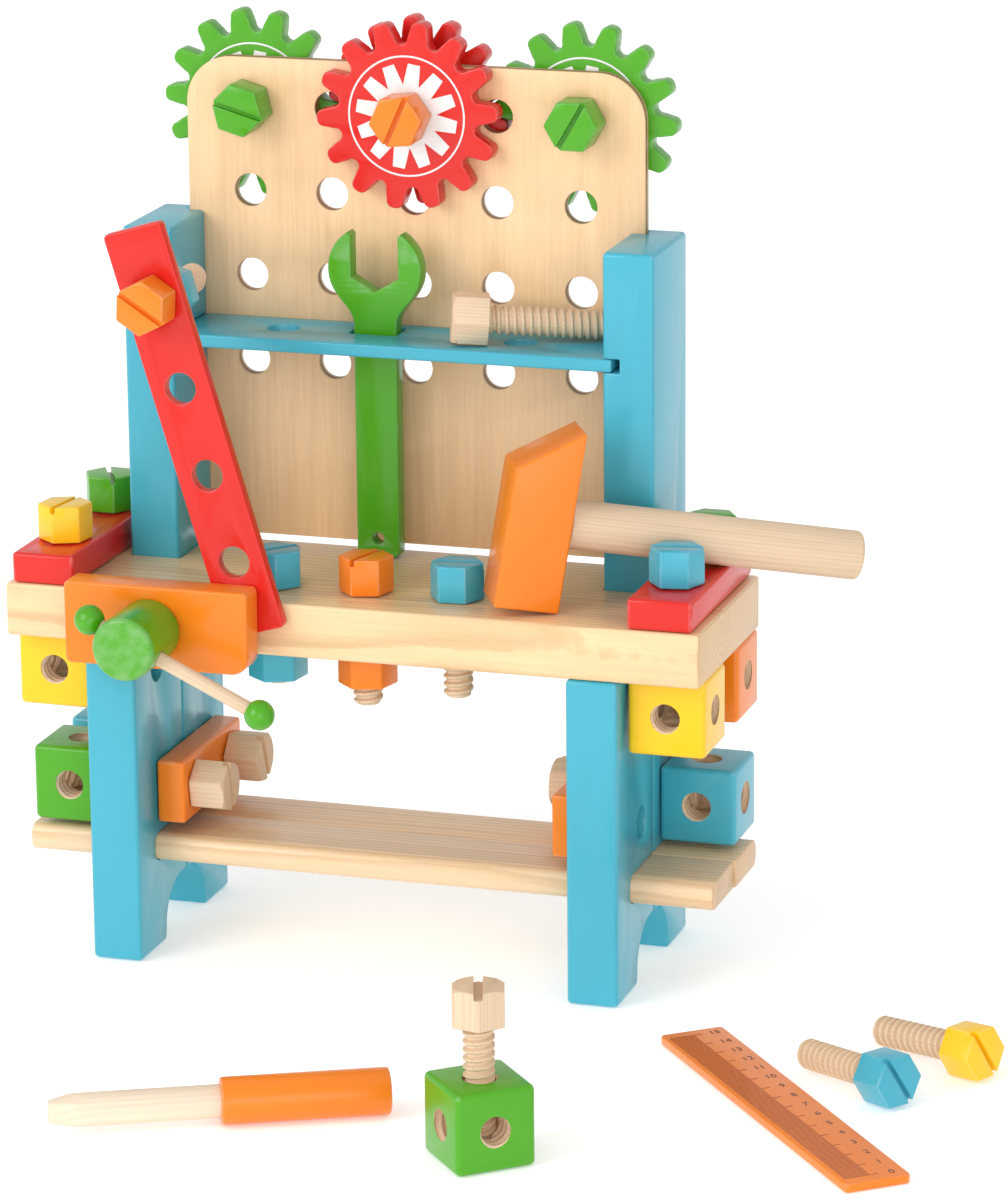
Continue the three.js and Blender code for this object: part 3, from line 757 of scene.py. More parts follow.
def make_legs():
    w = bpy.context.scene.bench_wood
    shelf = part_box("upper_shelf")
    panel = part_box("pegboard_panel")
    boards = (("leg_front", BEAM_ROW, ROW_FRONT), ("upright", ROW_REAR, ROW_REAR))
    for side, hand in ((-1, "left"), (1, "right")):
        for kind, beam_row, cube_row in boards:
            node = f"{hand}_{kind}"
            low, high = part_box(node)
            piece = block(node, low, high, w.edge + 0.4 * MM, 4)
            cut(piece, arch_tool())
            cut(piece, shelf_tool())
            middle = side * LEG_MIDDLE
            holes = [at(middle, beam_row, BEAM_HOLE), at(middle, cube_row, CUBE_HOLE)]
            cut(piece, drills(holes, 0, HOLE, 40 * MM))
            if kind == "upright":
                face = at(side * LEG_IN, 0, 0).x
                near, far = sorted((face - side * MM, face + side * 8 * MM))
                for name, start, end in (
                    ("panel groove", panel[0], Vector((0, panel[1].y, high.z + MM - GAP))),
                    ("shelf slot", Vector((0, low.y - MM + GAP, shelf[0].z)), shelf[1]),
                ):
                    corners = (near, start.y - GAP, start.z - GAP), (far, end.y + GAP, end.z + GAP)
                    cut(piece, block(name, *corners))
            soften(piece, 0.7 * MM, 2, 50)
            board(piece, node, "blue", "Z")


def make_shelves():
    w = bpy.context.scene.bench_wood
    for node, round_side in (("lower_shelf_front", -1), ("lower_shelf_rear", 1)):
        low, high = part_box(node)
        piece = block(node, low, high)
        middle = (low.y + high.y) / 2

        def outer(mesh, e):
            away = (mesh.vertices[e.vertices[0]].co.y - middle) * round_side
            return runs_along(0)(mesh, e) and away > 0

        bevel(piece, outer, 5 * MM, 6)
        soften(piece, 0.8 * MM, 3, 50)
        board(piece, node, "shelf pine", heart=(0.006 * round_side, -0.045))
    low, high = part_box("upper_shelf")
    piece = block("upper_shelf", low, high, 0.9 * MM, 3)
    cut(piece, drills([at(x, 85, 283) for x in (-57.5, 57.5)], 2, HOLE, 20 * MM))
    slot = block("slot", at(-25.2, 82, 270), at(-1.8, 99, 300))
    cut(piece, bevel(slot, runs_along(2), 1.5 * MM, 3))
    soften(piece, w.rim, 2, 60)
    board(piece, "upper_shelf", "blue", "X")


def make_pegboard():
    low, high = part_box("pegboard_panel")
    piece = block("pegboard", low, high)

    def upper(mesh, e):
        return runs_along(1)(mesh, e) and mesh.vertices[e.vertices[0]].co.z > (low.z + high.z) / 2

    bevel(piece, upper, 22 * MM, 14)
    top = high.z - 22.2 * MM
    places = [
        Vector((BENCH_ZERO.x + column * PITCH * MM, (low.y + high.y) / 2, top - row * PITCH * MM))
        for row in range(4)
        for column in range(-2, 3)
    ]
    cut(piece, drills(places, 1, HOLE, 20 * MM, 48))
    soften(piece, 0.35 * MM, 2, 60)
    piece.data.materials.append(FINISH["plywood"])
    piece.data.materials.append(FINISH["ply edge"])
    for face in piece.data.polygons:
        face.material_index = 0 if abs(face.normal.y) > 0.5 else 1
    board(piece, "pegboard_panel", "plywood", "Z", heart=(0.02, -0.16))


def make_end_blocks_and_beams():
    kinds = (
        ("end_block", "red", 2, (ROW_FRONT, ROW_REAR)),
        ("tie_beam", "orange", 0, (BEAM_ROW, ROW_REAR)),
    )
    for hand in ("left", "right"):
        for kind, finish, axis, rows in kinds:
            node = f"{hand}_{kind}"
            low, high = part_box(node)
            piece = block(node, low, high, 1.8 * MM, 4)
            middle = (low + high) / 2
            holes = [Vector((middle.x, at(0, y, 0).y, middle.z)) for y in rows]
            cut(piece, drills(holes, axis, HOLE, 40 * MM))
            soften(piece, 0.4 * MM, 2, 60)
            board(piece, node, finish, "Y")


# ---------------------------------------------------------------- cubes, bolts and nuts

UP, DOWN, FRONT, BACK = (0, 0, 1), (0, 0, -1), (0, -1, 0), (0, 1, 0)
CUBES = {
    "cube_left_front_yellow": "yellow",
    "cube_right_front_yellow": "yellow",
    "cube_left_rear_orange": "orange",
    "cube_right_rear_orange": "orange",
    "cube_left_leg_green": "green",
    "cube_left_leg_blue": "blue",
    "cube_right_leg_blue": "blue",
    "cube_loose_green": "green",
}
LONG, SHORT = 53, 46
HEAD_FLATS, SHANK = 22, 13.6
LEG_HEAD = 88.7
STRIP_PIN = (-86.1, 316.4)


def lying(yaw, size):
    """The way that a bolt points when it lies on a flat of its head and on its tip."""
    tip = math.asin((HEAD_FLATS - SHANK) / 2 / size) * 0.95
    yaw = math.radians(yaw)
    return (math.cos(yaw) * math.cos(tip), math.sin(yaw) * math.cos(tip), math.sin(tip))


BOLTS = (
    ("bolt_left_front_yellow", "yellow", SHORT, (-END_X, ROW_FRONT, BLOCK_TOP), UP, 82),
    ("bolt_left_rear_green", "green", LONG, (-END_X, ROW_REAR, BLOCK_TOP), UP, 117),
    ("bolt_right_front_blue", "blue", SHORT, (END_X, ROW_FRONT, BLOCK_TOP), UP, 10),
    ("bolt_right_rear_green", "green", LONG, (END_X, ROW_REAR, BLOCK_TOP), UP, 0),
    ("bolt_worktop_left_blue", "blue", SHORT, (-BOLT_PITCH, ROW_FRONT, TOP), UP, 49),
    ("bolt_worktop_middle_orange", "orange", LONG, (0, ROW_FRONT, TOP), UP, 75),
    ("bolt_worktop_right_blue", "blue", SHORT, (BOLT_PITCH, ROW_FRONT, TOP), UP, 4),
    ("bolt_left_leg_front", "beech", LONG, (-LEG_HEAD, BEAM_ROW, BEAM_HOLE), (1, 0, 0), 10),
    ("bolt_left_leg_rear", "beech", LONG, (-LEG_HEAD, ROW_REAR, BEAM_HOLE), (1, 0, 0), 20),
    ("bolt_right_leg_rear", "beech", LONG, (LEG_HEAD, ROW_REAR, BEAM_HOLE), (-1, 0, 0), 12),
    ("bolt_gear_left_green", "green", LONG, (-2 * PITCH, 106, AXLE_Z), FRONT, -16),
    ("bolt_gear_right_green", "green", LONG, (2 * PITCH, 106, AXLE_Z), FRONT, 60),
    ("bolt_gear_middle_orange", "orange", LONG, (0, 96.3, AXLE_Z), FRONT, 66),
    ("bolt_strip_orange", "orange", LONG, (STRIP_PIN[0], -6.6, STRIP_PIN[1]), FRONT, -33),
    ("bolt_on_upper_shelf", "beech", LONG, (44, 79, 297.3), lying(200, LONG), 230),
    ("bolt_loose_cube", "beech", LONG, (122, -190, 60), UP, 107.5),
    ("bolt_loose_blue", "blue", SHORT, (264.4, -76.5, 11), lying(-36.4, SHORT), -6.4),
    ("bolt_loose_yellow", "yellow", SHORT, (291.6, -35.1, 11), lying(-29.9, SHORT), 0.1),
)
NUTS = (
    ("nut_worktop_left_blue", "blue", (-BOLT_PITCH, ROW_FRONT, NUT_SEAT), DOWN, 8),
    ("nut_worktop_middle_orange", "orange", (0, ROW_FRONT, NUT_SEAT), DOWN, 14),
    ("nut_gear_left", "yellow", (-2 * PITCH, 122.3, AXLE_Z), BACK, 0),
    ("nut_gear_middle", "blue", (0, 122.3, AXLE_Z), BACK, 10),
    ("nut_gear_right", "yellow", (2 * PITCH, 122.3, AXLE_Z), BACK, 20),
    ("nut_strip_blue", "blue", (STRIP_PIN[0], 0, STRIP_PIN[1]), BACK, 15),
)


def tap(reach, play=0.4):
    """The shape that a thread cutter leaves, along z."""
    b = bpy.context.scene.bench_bolt
    inner = b.shank / 2 + play * MM
    return paint(threaded("tap", -reach, reach, inner, inner + 0.95 * MM, b.pitch, 26), "beech")


def cube_blank(bolted):
    """A cube with three crossed threaded holes, the one with a bolt in it a little wider."""
    b = bpy.context.scene.bench_bolt
    half = b.cube / 2
    master = block("cube", (-half,) * 3, (half,) * 3, 2.4 * MM, 4)
    paint(master, "yellow")
    for axis, turn in (("X", (0, 1, 0)), ("Y", (1, 0, 0)), ("Z", (0, 0, 1))):
        tool = tap(half + 3 * MM, 0.4 if axis == bolted else -0.35)
        cut(master, placed(tool, Matrix.Rotation(math.pi / 2, 4, turn)))
    smooth(master, 30)
    mark_edges(master)
    return master


def make_cubes():
    blanks = {bolted: cube_blank(bolted) for bolted in "XZ"}
    for node, finish in CUBES.items():
        piece = copied(blanks["X" if "_leg_" in node else "Z"], node)
        piece.data.materials[0] = FINISH[finish]
        grain(piece, "X")
        low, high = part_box(node)
        turn = 41 if "loose" in node else 0
        middle = Matrix.Translation((low + high) / 2)
        settle(piece, node, finish, middle @ Matrix.Rotation(math.radians(turn), 4, "Z"))
    for blank in blanks.values():
        bpy.data.objects.remove(blank)


def hexagon(name, flats, low, high):
    bpy.ops.mesh.primitive_cylinder_add(
        vertices=6,
        radius=flats / math.sqrt(3),
        depth=high - low,
        location=(0, 0, (low + high) / 2),
        rotation=(0, 0, math.pi / 6),
    )
    return added(name)


def bolt_head(natural):
    """A slotted head; a natural one is turned down to a cone at its end and has a wider slot."""
    b = bpy.context.scene.bench_bolt
    head = hexagon("head", b.flats, 0, b.head)
    corner = b.flats / math.sqrt(3)
    soften(head, 0.5 * MM if natural else 0.8 * MM, 3, 24)
    if natural:
        outside, end = corner + MM, b.head + 0.1 * MM
        cap = [(0, -MM), (outside, -MM), (outside, b.head - 2.2 * MM)]
        cap += [(b.flats / 2 - 0.3 * MM, end), (0, end)]
        cut(head, turned("cone", cap, 48), "INTERSECT")
    half = Vector((corner + MM, (1.6 if natural else 1) * b.slot / 2, 2 * MM))
    middle = Vector((0, 0, b.head - MM))
    cut(head, block("slot", middle - half, middle + half))
    if not natural:
        soften(head, 0.25 * MM, 2, 62)
    smooth(head, 30)
    mark_edges(head)
    return head


def shank(bottom):
    b = bpy.context.scene.bench_bolt
    radii = b.root / 2, b.shank / 2
    return smooth(threaded("shank", bottom, 0.5 * MM, *radii, b.pitch, 30, 0.5 * MM), 50)


def make_bolts():
    heads = {natural: bolt_head(natural) for natural in (False, True)}
    shanks = {size: shank(-size * MM) for size in (SHORT, LONG)}
    for node, finish, size, seat, way, spin in BOLTS:
        matrix = aimed(at(*seat), way, spin)
        head = grain(copied(heads[finish == "beech"], node), "Z")
        settle(head, node, finish, matrix, node + "_head")
        stem = grain(copied(shanks[size], node), "Z")
        settle(stem, node, "beech", matrix, node + "_shank")
    for master in (*heads.values(), *shanks.values()):
        bpy.data.objects.remove(master)


def make_nuts():
    b = bpy.context.scene.bench_bolt
    master = hexagon("nut", b.nut, 0, 18 * MM)
    soften(master, 0.9 * MM, 3, 24)
    paint(master, "blue")
    cut(master, tap(22 * MM))
    smooth(master, 30)
    mark_edges(master)
    for node, finish, seat, way, spin in NUTS:
        piece = grain(copied(master, node), "Z")
        piece.data.materials[0] = FINISH[finish]
        settle(piece, node, finish, aimed(at(*seat), way, spin))
    bpy.data.objects.remove(master)


# ---------------------------------------------------------------- gears

GEARS = (
    ("gear_rear_left_green", "green", -2, 16.5),
    ("gear_rear_middle_red", "red", 0, 180 / 14 - 16.5),
    ("gear_rear_right_green", "green", 2, 16.5),
    ("gear_front_red", "red", 0, 9.1),
)


def thicken(piece, height):
    rise = {"value": (0, 0, height)}
    edit(piece, bpy.ops.mesh.extrude_region_move, TRANSFORM_OT_translate=rise)
    edit(piece, bpy.ops.mesh.normals_make_consistent, inside=False)


def tooth_side():
    """One side of a tooth that points along +y: the gap's round bottom, then the tip's corner."""
    g = bpy.context.scene.bench_gear
    gap, corner = 3.1 * MM, 3.3 * MM
    middle = math.pi / g.teeth
    out = Vector((math.sin(middle), math.cos(middle)))
    toward = Vector((-math.cos(middle), math.sin(middle)))
    angles = [math.radians(22 * i) for i in range(5)]
    side = [(g.root + gap) * out + gap * (math.sin(a) * toward - math.cos(a) * out) for a in angles]
    tip = Vector((0.7 * MM, g.tip - corner))
    side += [tip + corner * Vector((math.cos(a), math.sin(a))) for a in angles]
    return side + [Vector((0, g.tip))]


def gear_blank():
    """A gear lying face down on z = 0, its first tooth along +y."""
    g = bpy.context.scene.bench_gear
    side = tooth_side()
    tooth = [Vector((-p.x, p.y)) for p in side] + side[-2:0:-1]
    corners = g.teeth * len(tooth)
    bpy.ops.mesh.primitive_circle_add(vertices=corners, radius=g.root, fill_type="NGON")
    piece = added("gear")
    for v in piece.data.vertices:
        number, part = divmod(v.index, len(tooth))
        turn = Matrix.Rotation(-math.tau * number / g.teeth, 2)
        v.co = (turn @ tooth[part]).to_3d()
    thicken(piece, g.thickness)
    cut(piece, rod("bore", (0, 0, -MM), (0, 0, g.thickness + MM), HOLE, 40))
    soften(piece, 0.75 * MM, 3, 55)
    smooth(piece, 40)
    mark_edges(piece)
    return piece


def gear_print(phase):
    """The ring and the star printed on a gear's face, lying on z = 0."""
    g = bpy.context.scene.bench_gear
    thick = 0.12 * MM
    near, far = g.print_ring - 0.45 * MM, g.print_ring + 0.45 * MM
    ring = turned("ring", ((near, 0), (far, 0), (far, thick), (near, thick), (near, 0)), 96)
    spokes, half, valley = 12, 2.9 * MM, 14.6 * MM
    bpy.ops.mesh.primitive_circle_add(vertices=3 * spokes, radius=valley, fill_type="NGON")
    star = added("star")
    spread = math.asin(half / g.print_star)
    for v in star.data.vertices:
        spoke, part = divmod(v.index, 3)
        middle = math.radians(phase) + spoke * math.tau / spokes
        turn = middle + (-spread, spread, math.pi / spokes)[part]
        radius = valley if part == 2 else g.print_star
        v.co = Vector((radius * math.sin(-turn), radius * math.cos(turn), 0))
    thicken(star, thick)
    cut(star, rod("middle", (0, 0, -MM), (0, 0, MM), HOLE, 40))
    return joined([ring, star])


def make_gears():
    blank = gear_blank()
    decal = gear_print(-9.5)
    g = bpy.context.scene.bench_gear
    for node, finish, column, phase in GEARS:
        low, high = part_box(node)
        centre = at(column * PITCH, 0, AXLE_Z)
        turn = Matrix.Rotation(math.radians(phase), 4, "Y")
        face = Matrix.Rotation(math.pi / 2, 4, "X")
        back = Matrix.Translation((centre.x, high.y, centre.z)) @ turn @ face
        settle(grain(copied(blank, node), "Y"), node, finish, back)
        front = Matrix.Translation((centre.x, low.y, centre.z)) @ face
        piece = grain(copied(decal, node), "X")
        settle(piece, node, "white ink", front, node + "_print", SLOTS[finish])
    bpy.data.objects.remove(blank)
    bpy.data.objects.remove(decal)


# ---------------------------------------------------------------- vise and strip

VISE_X, VISE_Z = -86, 168
TOMMY_TILT, TOMMY_SPAN = -25.4, 88.7
HUB_BACK, BAR_Y = -21.9, -44.6


def make_vise():
    low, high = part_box("vise_jaw")
    jaw = block("jaw", low, high)
    for corner, well_rounded in ((2.4 * MM, False), (8 * MM, True)):

        def upright_edge(mesh, e):
            place = mesh.vertices[e.vertices[0]].co - (low + high) / 2
            return runs_along(1)(mesh, e) and (place.x > 0 > place.z) == well_rounded

        bevel(jaw, upright_edge, corner, 8)
    soften(jaw, 1.2 * MM, 4, 40)
    cut(jaw, drills([at(VISE_X, -14, VISE_Z)], 1, HOLE, 30 * MM))
    soften(jaw, 0.4 * MM, 2, 60)
    board(jaw, "vise_jaw", "orange", "X")

    low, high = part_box("vise_screw")
    size = (high.x - low.x) / 2
    hub_length = 35 * MM
    r = 2.6 * MM
    profile = [(0, 0), (size - 1.2 * MM, 0), (size - 0.3 * MM, 0.4 * MM), (size, 1.4 * MM)]
    for i in range(7):
        angle = math.radians(90 * i / 6)
        profile.append((size - r + r * math.cos(angle), hub_length - r + r * math.sin(angle)))
    profile.append((0, hub_length))
    hub = turned("hub", profile, 64)
    tilt = math.radians(TOMMY_TILT)
    way = Vector((math.cos(tilt), 0, math.sin(tilt)))
    seat = at(VISE_X, HUB_BACK, VISE_Z)
    matrix = aimed(seat, FRONT)
    placed(hub, matrix)
    middle = at(VISE_X, BAR_Y, VISE_Z)
    cut(hub, rod("cross", middle - way * 30 * MM, middle + way * 30 * MM, 7.5 * MM, 32))
    soften(hub, 0.35 * MM, 2, 60)
    board(hub, "vise_screw", "green", "Y", name="vise_screw_hub")
    screw = grain(shank(seat.y - high.y), "Z")
    settle(screw, "vise_screw", "beech", matrix, "vise_screw_thread")

    ball_radius = 6.9 * MM
    spans = {"left": -22 * MM, "right": (-22 + TOMMY_SPAN) * MM}
    ends = middle + way * (spans["left"] + 3 * MM), middle + way * (spans["right"] - 3 * MM)
    stick = rod("bar", *ends, 6.5 * MM, 32, 0.5 * MM, 2)
    smooth(stick)
    placed(stick, aimed(middle, way).inverted())
    settle(grain(stick, "Z"), "tommy_bar", "beech", aimed(middle, way))
    for hand, span in spans.items():
        start = math.radians(32)
        profile = [(0, -ball_radius * 0.75), (3.45 * MM, -ball_radius * 0.75)]
        for i in range(25):
            angle = start + (math.pi - start) * i / 24
            profile.append((ball_radius * math.sin(angle), -ball_radius * math.cos(angle)))
        profile[-1] = (0, ball_radius)
        ball = turned("ball", profile, 48)
        smooth(ball, 50)
        outward = way if hand == "right" else -way
        settle(grain(ball, "Z"), f"tommy_ball_{hand}", "green", aimed(middle + way * span, outward))


def make_strip():
    width, thick, pitch, end = 28.6 * MM, 6 * MM, 41.2 * MM, 34 * MM
    bottom = -3 * pitch - end
    corners = (-width / 2, 0, bottom), (width / 2, thick, end)
    piece = rounded_plate("strip", *corners, 1, 2.2 * MM, 0.9 * MM, 5, 3)
    holes = [Vector((0, thick / 2, -i * pitch)) for i in range(4)]
    cut(piece, drills(holes, 1, 14.6 * MM, 20 * MM, 48))
    soften(piece, 0.5 * MM, 2, 60)
    pin = Matrix.Translation(at(STRIP_PIN[0], -6.3, STRIP_PIN[1]))
    lean = Matrix.Rotation(math.radians(-16.7), 4, "Y")
    board(piece, "perforated_strip", "red", "Z", matrix=pin @ lean)


# ---------------------------------------------------------------- tools


def make_spanner():
    low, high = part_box("spanner")
    h, j, head, head_z, top, floor = 10.3, 11.4, 22.5, 312, 332.5, 305
    bottom = TOP
    neck = head_z - head
    shoulder = floor + j * math.tan(math.pi / 6)
    half = [
        ((h - 4, bottom), None, None),
        ((h, bottom + 4), (h - 1.3, bottom), (h, bottom + 1.3)),
        ((h, neck), None, None),
        ((head, head_z + 3), (h, neck + 9), (head, neck + 12)),
        ((j + 1.5, top), (head, head_z + 12), (j + 6, top - 3)),
        ((j, top - 1.5), None, None),
        ((j, shoulder), None, None),
    ]
    points = [*half, ((0, floor), None, None)]

    def flipped(place):
        return (-place[0], place[1]) if place else None

    for here, after in reversed(list(zip(half, [*half[1:], (None, None, None)]))):
        points.append((flipped(here[0]), flipped(after[2]), flipped(after[1])))
    bpy.ops.curve.primitive_bezier_curve_add()
    curve = bpy.context.active_object
    data = curve.data
    data.splines.clear()
    data.dimensions = "2D"
    data.fill_mode = "BOTH"
    data.resolution_u = 12
    ease = 0.8
    data.extrude = (high.y - low.y) / 2 - ease * MM
    data.bevel_depth = ease * MM
    data.bevel_resolution = 2
    data.offset = -ease * MM
    spline = data.splines.new("BEZIER")
    spline.use_cyclic_u = True
    spline.bezier_points.add(len(points) - 1)
    count = len(points)
    for i, (place, _, _) in enumerate(points):
        point = spline.bezier_points[i]
        point.handle_left_type = point.handle_right_type = "FREE"
        point.co = (*(c * MM for c in place), 0)
    for i in range(count):
        here, after = spline.bezier_points[i], spline.bezier_points[(i + 1) % count]
        _, out, into = points[(i + 1) % count]
        if out:
            here.handle_right = (out[0] * MM, out[1] * MM, 0)
            after.handle_left = (into[0] * MM, into[1] * MM, 0)
        else:
            here.handle_right = here.co.lerp(after.co, 1 / 3)
            after.handle_left = here.co.lerp(after.co, 2 / 3)
    hole = data.splines.new("BEZIER")
    hole.use_cyclic_u = True
    hole.bezier_points.add(3)
    radius, centre = 2.8, bottom + 9
    for i, point in enumerate(hole.bezier_points):
        point.handle_left_type = point.handle_right_type = "AUTO"
        angle = -math.tau * i / 4
        point.co = (radius * math.cos(angle) * MM, (centre + radius * math.sin(angle)) * MM, 0)
    alone(curve)
    bpy.ops.object.convert(target="MESH")
    piece = bpy.context.active_object
    edit(piece, bpy.ops.mesh.remove_doubles, threshold=1e-6)
    edit(piece, bpy.ops.mesh.normals_make_consistent, inside=False)
    slot = Matrix.Translation((BENCH_ZERO.x - 13.2 * MM, (low.y + high.y) / 2, BENCH_ZERO.z))
    placed(piece, slot @ Matrix.Rotation(math.pi / 2, 4, "X"))
    board(piece, "spanner", "green", "Z")


def make_hammer():
    width, depth, short, tall, up = 29.8 * MM, 28 * MM, 64.4 * MM, 83.4 * MM, 38.8 * MM
    head = block("head", (-width, 0, 0), (0, depth, tall))
    for v in head.data.vertices:
        if v.co.x < -width / 2 and v.co.z > tall / 2:
            v.co.z = short
    soften(head, 1.1 * MM, 4, 30)
    yaw, droop = math.radians(28), math.radians(9.6)
    along = Vector((math.cos(yaw), math.sin(yaw), -math.tan(droop))).normalized()
    across = Vector((-math.sin(yaw), math.cos(yaw), 0))
    turn = Matrix((along, across, along.cross(across))).transposed().to_4x4()
    matrix = Matrix.Translation(at(95.8, 15.2, TOP)) @ turn
    board(head, "hammer_head", "orange", "Z", matrix=matrix)
    r, size, ease = 11.2 * MM, 137 * MM, 2.4 * MM
    profile = [(0, 0), (r - 0.6 * MM, 0), (r, 0.6 * MM), (r, size - ease)]
    for i in range(1, 7):
        angle = math.radians(90 * i / 6)
        profile.append((r - ease * (1 - math.cos(angle)), size - ease * (1 - math.sin(angle))))
    profile.append((0, size))
    handle = smooth(turned("handle", profile, 64), 40)
    grain(handle, "Z")
    socket = Matrix.Translation((0.3 * MM, depth / 2, up)) @ Matrix.Rotation(math.pi / 2, 4, "Y")
    settle(handle, "hammer_handle", "beech", matrix @ socket)


def make_screwdriver():
    r, size = 10.3 * MM, 73 * MM
    profile = [(0, 0), (r - 1.2 * MM, 0), (r - 0.35 * MM, 0.35 * MM), (r, 1.2 * MM)]
    profile += [(radius, size - height) for radius, height in reversed(profile)]
    matrix = (
        Matrix.Translation(at(3.6, -183.2, 10.3))
        @ Matrix.Rotation(math.radians(25.9), 4, "Z")
        @ Matrix.Rotation(math.pi / 2, 4, "Y")
    )
    grip = smooth(turned("grip", profile, 56), 50)
    mark_edges(grip)
    settle(grain(grip, "Z"), "screwdriver", "orange", matrix, "screwdriver_grip")
    tip, taper, thick = -73.4 * MM, 19 * MM, 14.6 * MM
    blade = rod("blade", (0, 0, tip), (0, 0, 2 * MM), thick, 56)
    for quarter, half in enumerate((2 * MM, 4.6 * MM, 2 * MM, 4.6 * MM)):
        slope = math.atan2(thick / 2 - half, taper)
        wedge = block("wedge", (0, -20 * MM, -40 * MM), (30 * MM, 20 * MM, 40 * MM))
        placed(
            wedge,
            Matrix.Rotation(math.radians(8 + 90 * quarter), 4, "Z")
            @ Matrix.Translation((0, half, tip))
            @ Matrix.Rotation(-slope, 4, "X")
            @ Matrix.Rotation(math.pi / 2, 4, "Z"),
        )
        cut(blade, wedge)
    soften(blade, 0.5 * MM, 2, 30)
    smooth(blade, 30)
    settle(grain(blade, "Z"), "screwdriver", "pale beech", matrix, "screwdriver_blade")


def make_ruler():
    size, width, thick = 192 * MM, 30 * MM, 4 * MM
    turn = Matrix.Rotation(math.radians(-50.8), 4, "Z")
    matrix = Matrix.Translation(at(229.9, -102.6, 0)) @ turn
    corners = (-size / 2, -width / 2, 0), (size / 2, width / 2, thick)
    piece = rounded_plate("ruler", *corners, 2, 2 * MM, 0.6 * MM, 5, 3)
    board(piece, "ruler", "orange", "X", matrix=matrix)
    step, ink_thick, count = 12 * MM, 0.1 * MM, 15
    start = count * step / 2
    marks = []
    fine = block("mark", (-0.2 * MM, -13 * MM, thick), (0.2 * MM, -1 * MM, thick + ink_thick))
    for i in range(count * 10 + 1):
        mark = copied(fine, "mark")
        x = start - i * step / 10
        long = i % 10 == 0
        for v in mark.data.vertices:
            v.co.x = x + v.co.x * (1.2 if long else 1)
            if long and v.co.y > -5 * MM:
                v.co.y = 2.6 * MM
        marks.append(mark)
    bpy.data.objects.remove(fine)
    marks = joined(marks)
    settle(grain(marks, "X"), "ruler", "brick ink", matrix, "ruler_marks", "orange_lacquer")
    digits = []
    for i in range(count + 1):
        bpy.ops.object.text_add(location=(0, 0, 0))
        text = alone(bpy.context.active_object)
        text.data.body = str(i)
        text.data.size = 5.6 * MM
        text.data.extrude = ink_thick / 2
        text.data.align_x = "CENTER"
        text.data.align_y = "CENTER"
        bpy.ops.object.convert(target="MESH")
        place = Matrix.Translation((start - i * step, 8.8 * MM, thick + ink_thick / 2))
        upright = Matrix.Rotation(math.pi / 2, 4, "Z")
        digits.append(placed(bpy.context.active_object, place @ upright))
    digits = edit(joined(digits), bpy.ops.mesh.remove_doubles, threshold=1e-6)
    settle(grain(digits, "X"), "ruler", "brown ink", matrix, "ruler_digits", "orange_lacquer")


# ---------------------------------------------------------------- stage


def area_light(name, place, aim_at, size, power):
    bpy.ops.object.light_add(type="AREA", location=place)
    light = bpy.context.active_object
    light.name = name
    light.data.shape = "RECTANGLE"
    light.data.size, light.data.size_y = size
    light.data.energy = power
    light.rotation_euler = (Vector(place) - Vector(aim_at)).to_track_quat("Z", "Y").to_euler()
    return light


def make_stage():
    s = bpy.context.scene.bench_stage
    middle = (BENCH_ZERO.x, BENCH_ZERO.y + 2, FLOOR_Z - 0.4 * MM)
    bpy.ops.mesh.primitive_plane_add(size=16, location=middle)
    floor = bpy.context.active_object
    floor.name = "floor"
    r = Recipe("Pale floor")
    shade = r.span(r.add("TexNoise", {"Scale": 3.0}).outputs["Fac"], 0.3, 0.7, 0.93, 0.95)
    base = r.add("CombineColor", {0: shade, 1: shade, 2: shade}).outputs[0]
    shader = r.add(
        "BsdfPrincipled",
        {
            "Base Color": base,
            "Roughness": 0.9,
            "Specular IOR Level": 0.1,
            "Emission Color": (1, 1, 1, 1),
            "Emission Strength": 0.3,
        },
    )
    floor.data.materials.append(r.done(shader))

    target = at(20, 20, 210)
    area_light("key", at(-1100, -1500, 1150), target, (1.2, 1.2), s.key)
    area_light("fill", at(900, -1900, 450), target, (1.6, 1.2), s.fill)

    world = bpy.data.worlds.new("studio")
    bpy.context.scene.world = world
    world.use_nodes = True
    background = world.node_tree.nodes["Background"]
    background.inputs["Color"].default_value = (1, 1, 1, 1)
    background.inputs["Strength"].default_value = s.room

    sin, cos = math.sin, math.cos
    forward = Vector((-sin(s.turn) * cos(s.pitch), cos(s.turn) * cos(s.pitch), -sin(s.pitch)))
    right0 = Vector((cos(s.turn), sin(s.turn), 0))
    up0 = right0.cross(forward)
    right = cos(s.roll) * right0 + sin(s.roll) * up0
    up = -sin(s.roll) * right0 + cos(s.roll) * up0
    bpy.ops.object.camera_add()
    camera = bpy.context.active_object
    camera.name = "camera"
    turn = Matrix((right, up, -forward)).transposed().to_4x4()
    camera.matrix_world = Matrix.Translation(at(762.9, -2183.1, 831.6)) @ turn
    camera.data.lens = s.lens
    camera.data.sensor_width = 36
    camera.data.clip_end = 50
    bpy.context.scene.camera = camera
    bpy.context.scene.view_settings.view_transform = "Standard"
    bpy.context.scene.view_settings.look = "None"


# ---------------------------------------------------------------- add-on


class BenchStep:
    bl_options = {"REGISTER", "UNDO"}
    work = ()

    def execute(self, context):
        for step in self.work:
            step()
        return {"FINISHED"}


class BENCH_OT_finishes(BenchStep, bpy.types.Operator):
    """Mixes the lacquers, the woods and the printing inks"""

    bl_idname = "bench.finishes"
    bl_label = "Mix finishes"

    def execute(self, context):
        FINISH.update(make_finishes())
        return {"FINISHED"}


class BENCH_OT_boards(BenchStep, bpy.types.Operator):
    """Models the worktop, the legs, the shelves, the end blocks and the tie beams"""

    bl_idname = "bench.boards"
    bl_label = "Boards"
    work = (make_worktop, make_legs, make_shelves, make_end_blocks_and_beams)


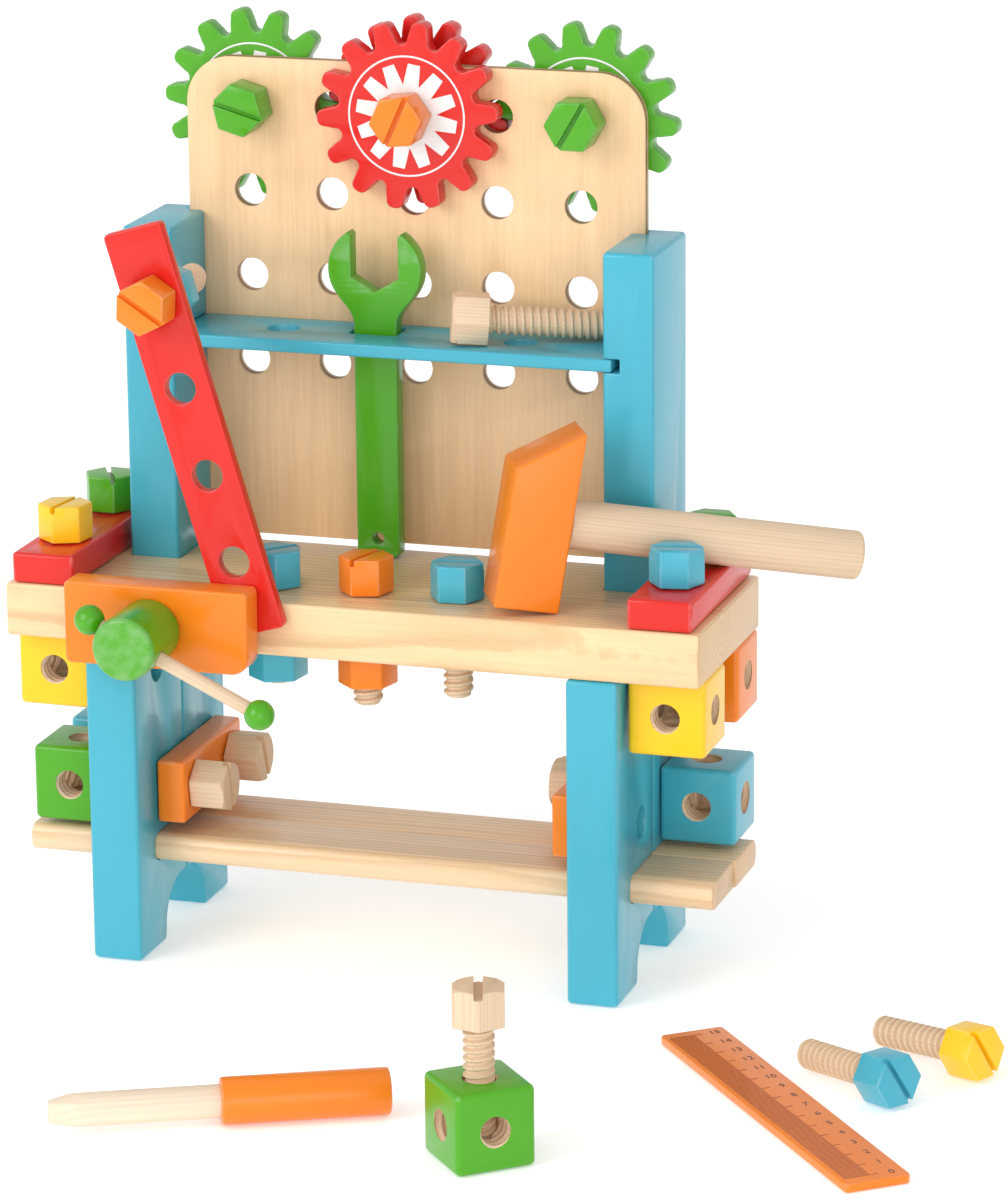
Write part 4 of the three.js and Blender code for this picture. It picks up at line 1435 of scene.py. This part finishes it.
class BENCH_OT_pegboard(BenchStep, bpy.types.Operator):
    """Models the plywood pegboard"""

    bl_idname = "bench.pegboard"
    bl_label = "Pegboard"
    work = (make_pegboard,)


class BENCH_OT_fasteners(BenchStep, bpy.types.Operator):
    """Models the threaded cubes, the bolts and the nuts"""

    bl_idname = "bench.fasteners"
    bl_label = "Cubes, bolts and nuts"
    work = (make_cubes, make_bolts, make_nuts)


class BENCH_OT_gears(BenchStep, bpy.types.Operator):
    """Models the gears and their printed stars"""

    bl_idname = "bench.gears"
    bl_label = "Gears"
    work = (make_gears,)


class BENCH_OT_vise(BenchStep, bpy.types.Operator):
    """Models the vise with its bar and the perforated strip it holds"""

    bl_idname = "bench.vise"
    bl_label = "Vise and strip"
    work = (make_vise, make_strip)


class BENCH_OT_tools(BenchStep, bpy.types.Operator):
    """Models the spanner, the hammer, the screwdriver and the ruler"""

    bl_idname = "bench.tools"
    bl_label = "Tools"
    work = (make_spanner, make_hammer, make_screwdriver, make_ruler)


class BENCH_OT_stage(BenchStep, bpy.types.Operator):
    """Sets up the floor, the lights and the camera"""

    bl_idname = "bench.stage"
    bl_label = "Stage"
    work = (make_stage,)


STEPS = ("stage", "finishes", "boards", "pegboard", "fasteners", "gears", "vise", "tools")


class BENCH_PT_panel(bpy.types.Panel):
    """Lists the steps that build the workbench, and its sizes and colours"""

    bl_idname = "BENCH_PT_panel"
    bl_label = "Toy workbench"
    bl_space_type = "VIEW_3D"
    bl_region_type = "UI"
    bl_category = "Workbench"

    def draw(self, context):
        for step in STEPS:
            self.layout.operator(f"bench.{step}")
        for group in SETTINGS:
            box = self.layout.box()
            values = getattr(context.scene, group)
            for key in values.__annotations__:
                box.prop(values, key)


SETTINGS = {
    "bench_finish": FinishSettings,
    "bench_wood": WoodSettings,
    "bench_bolt": BoltSettings,
    "bench_gear": GearSettings,
    "bench_stage": StageSettings,
}
CLASSES = (
    *SETTINGS.values(),
    BENCH_OT_finishes,
    BENCH_OT_boards,
    BENCH_OT_pegboard,
    BENCH_OT_fasteners,
    BENCH_OT_gears,
    BENCH_OT_vise,
    BENCH_OT_tools,
    BENCH_OT_stage,
    BENCH_PT_panel,
)


def register():
    for cls in CLASSES:
        bpy.utils.register_class(cls)
    for name, group in SETTINGS.items():
        setattr(bpy.types.Scene, name, bpy.props.PointerProperty(type=group))


def unregister():
    for name in SETTINGS:
        delattr(bpy.types.Scene, name)
    for cls in reversed(CLASSES):
        bpy.utils.unregister_class(cls)


def main():
    register()
    for step in STEPS:
        getattr(bpy.ops.bench, step)()


if __name__ == "__main__":
    main()
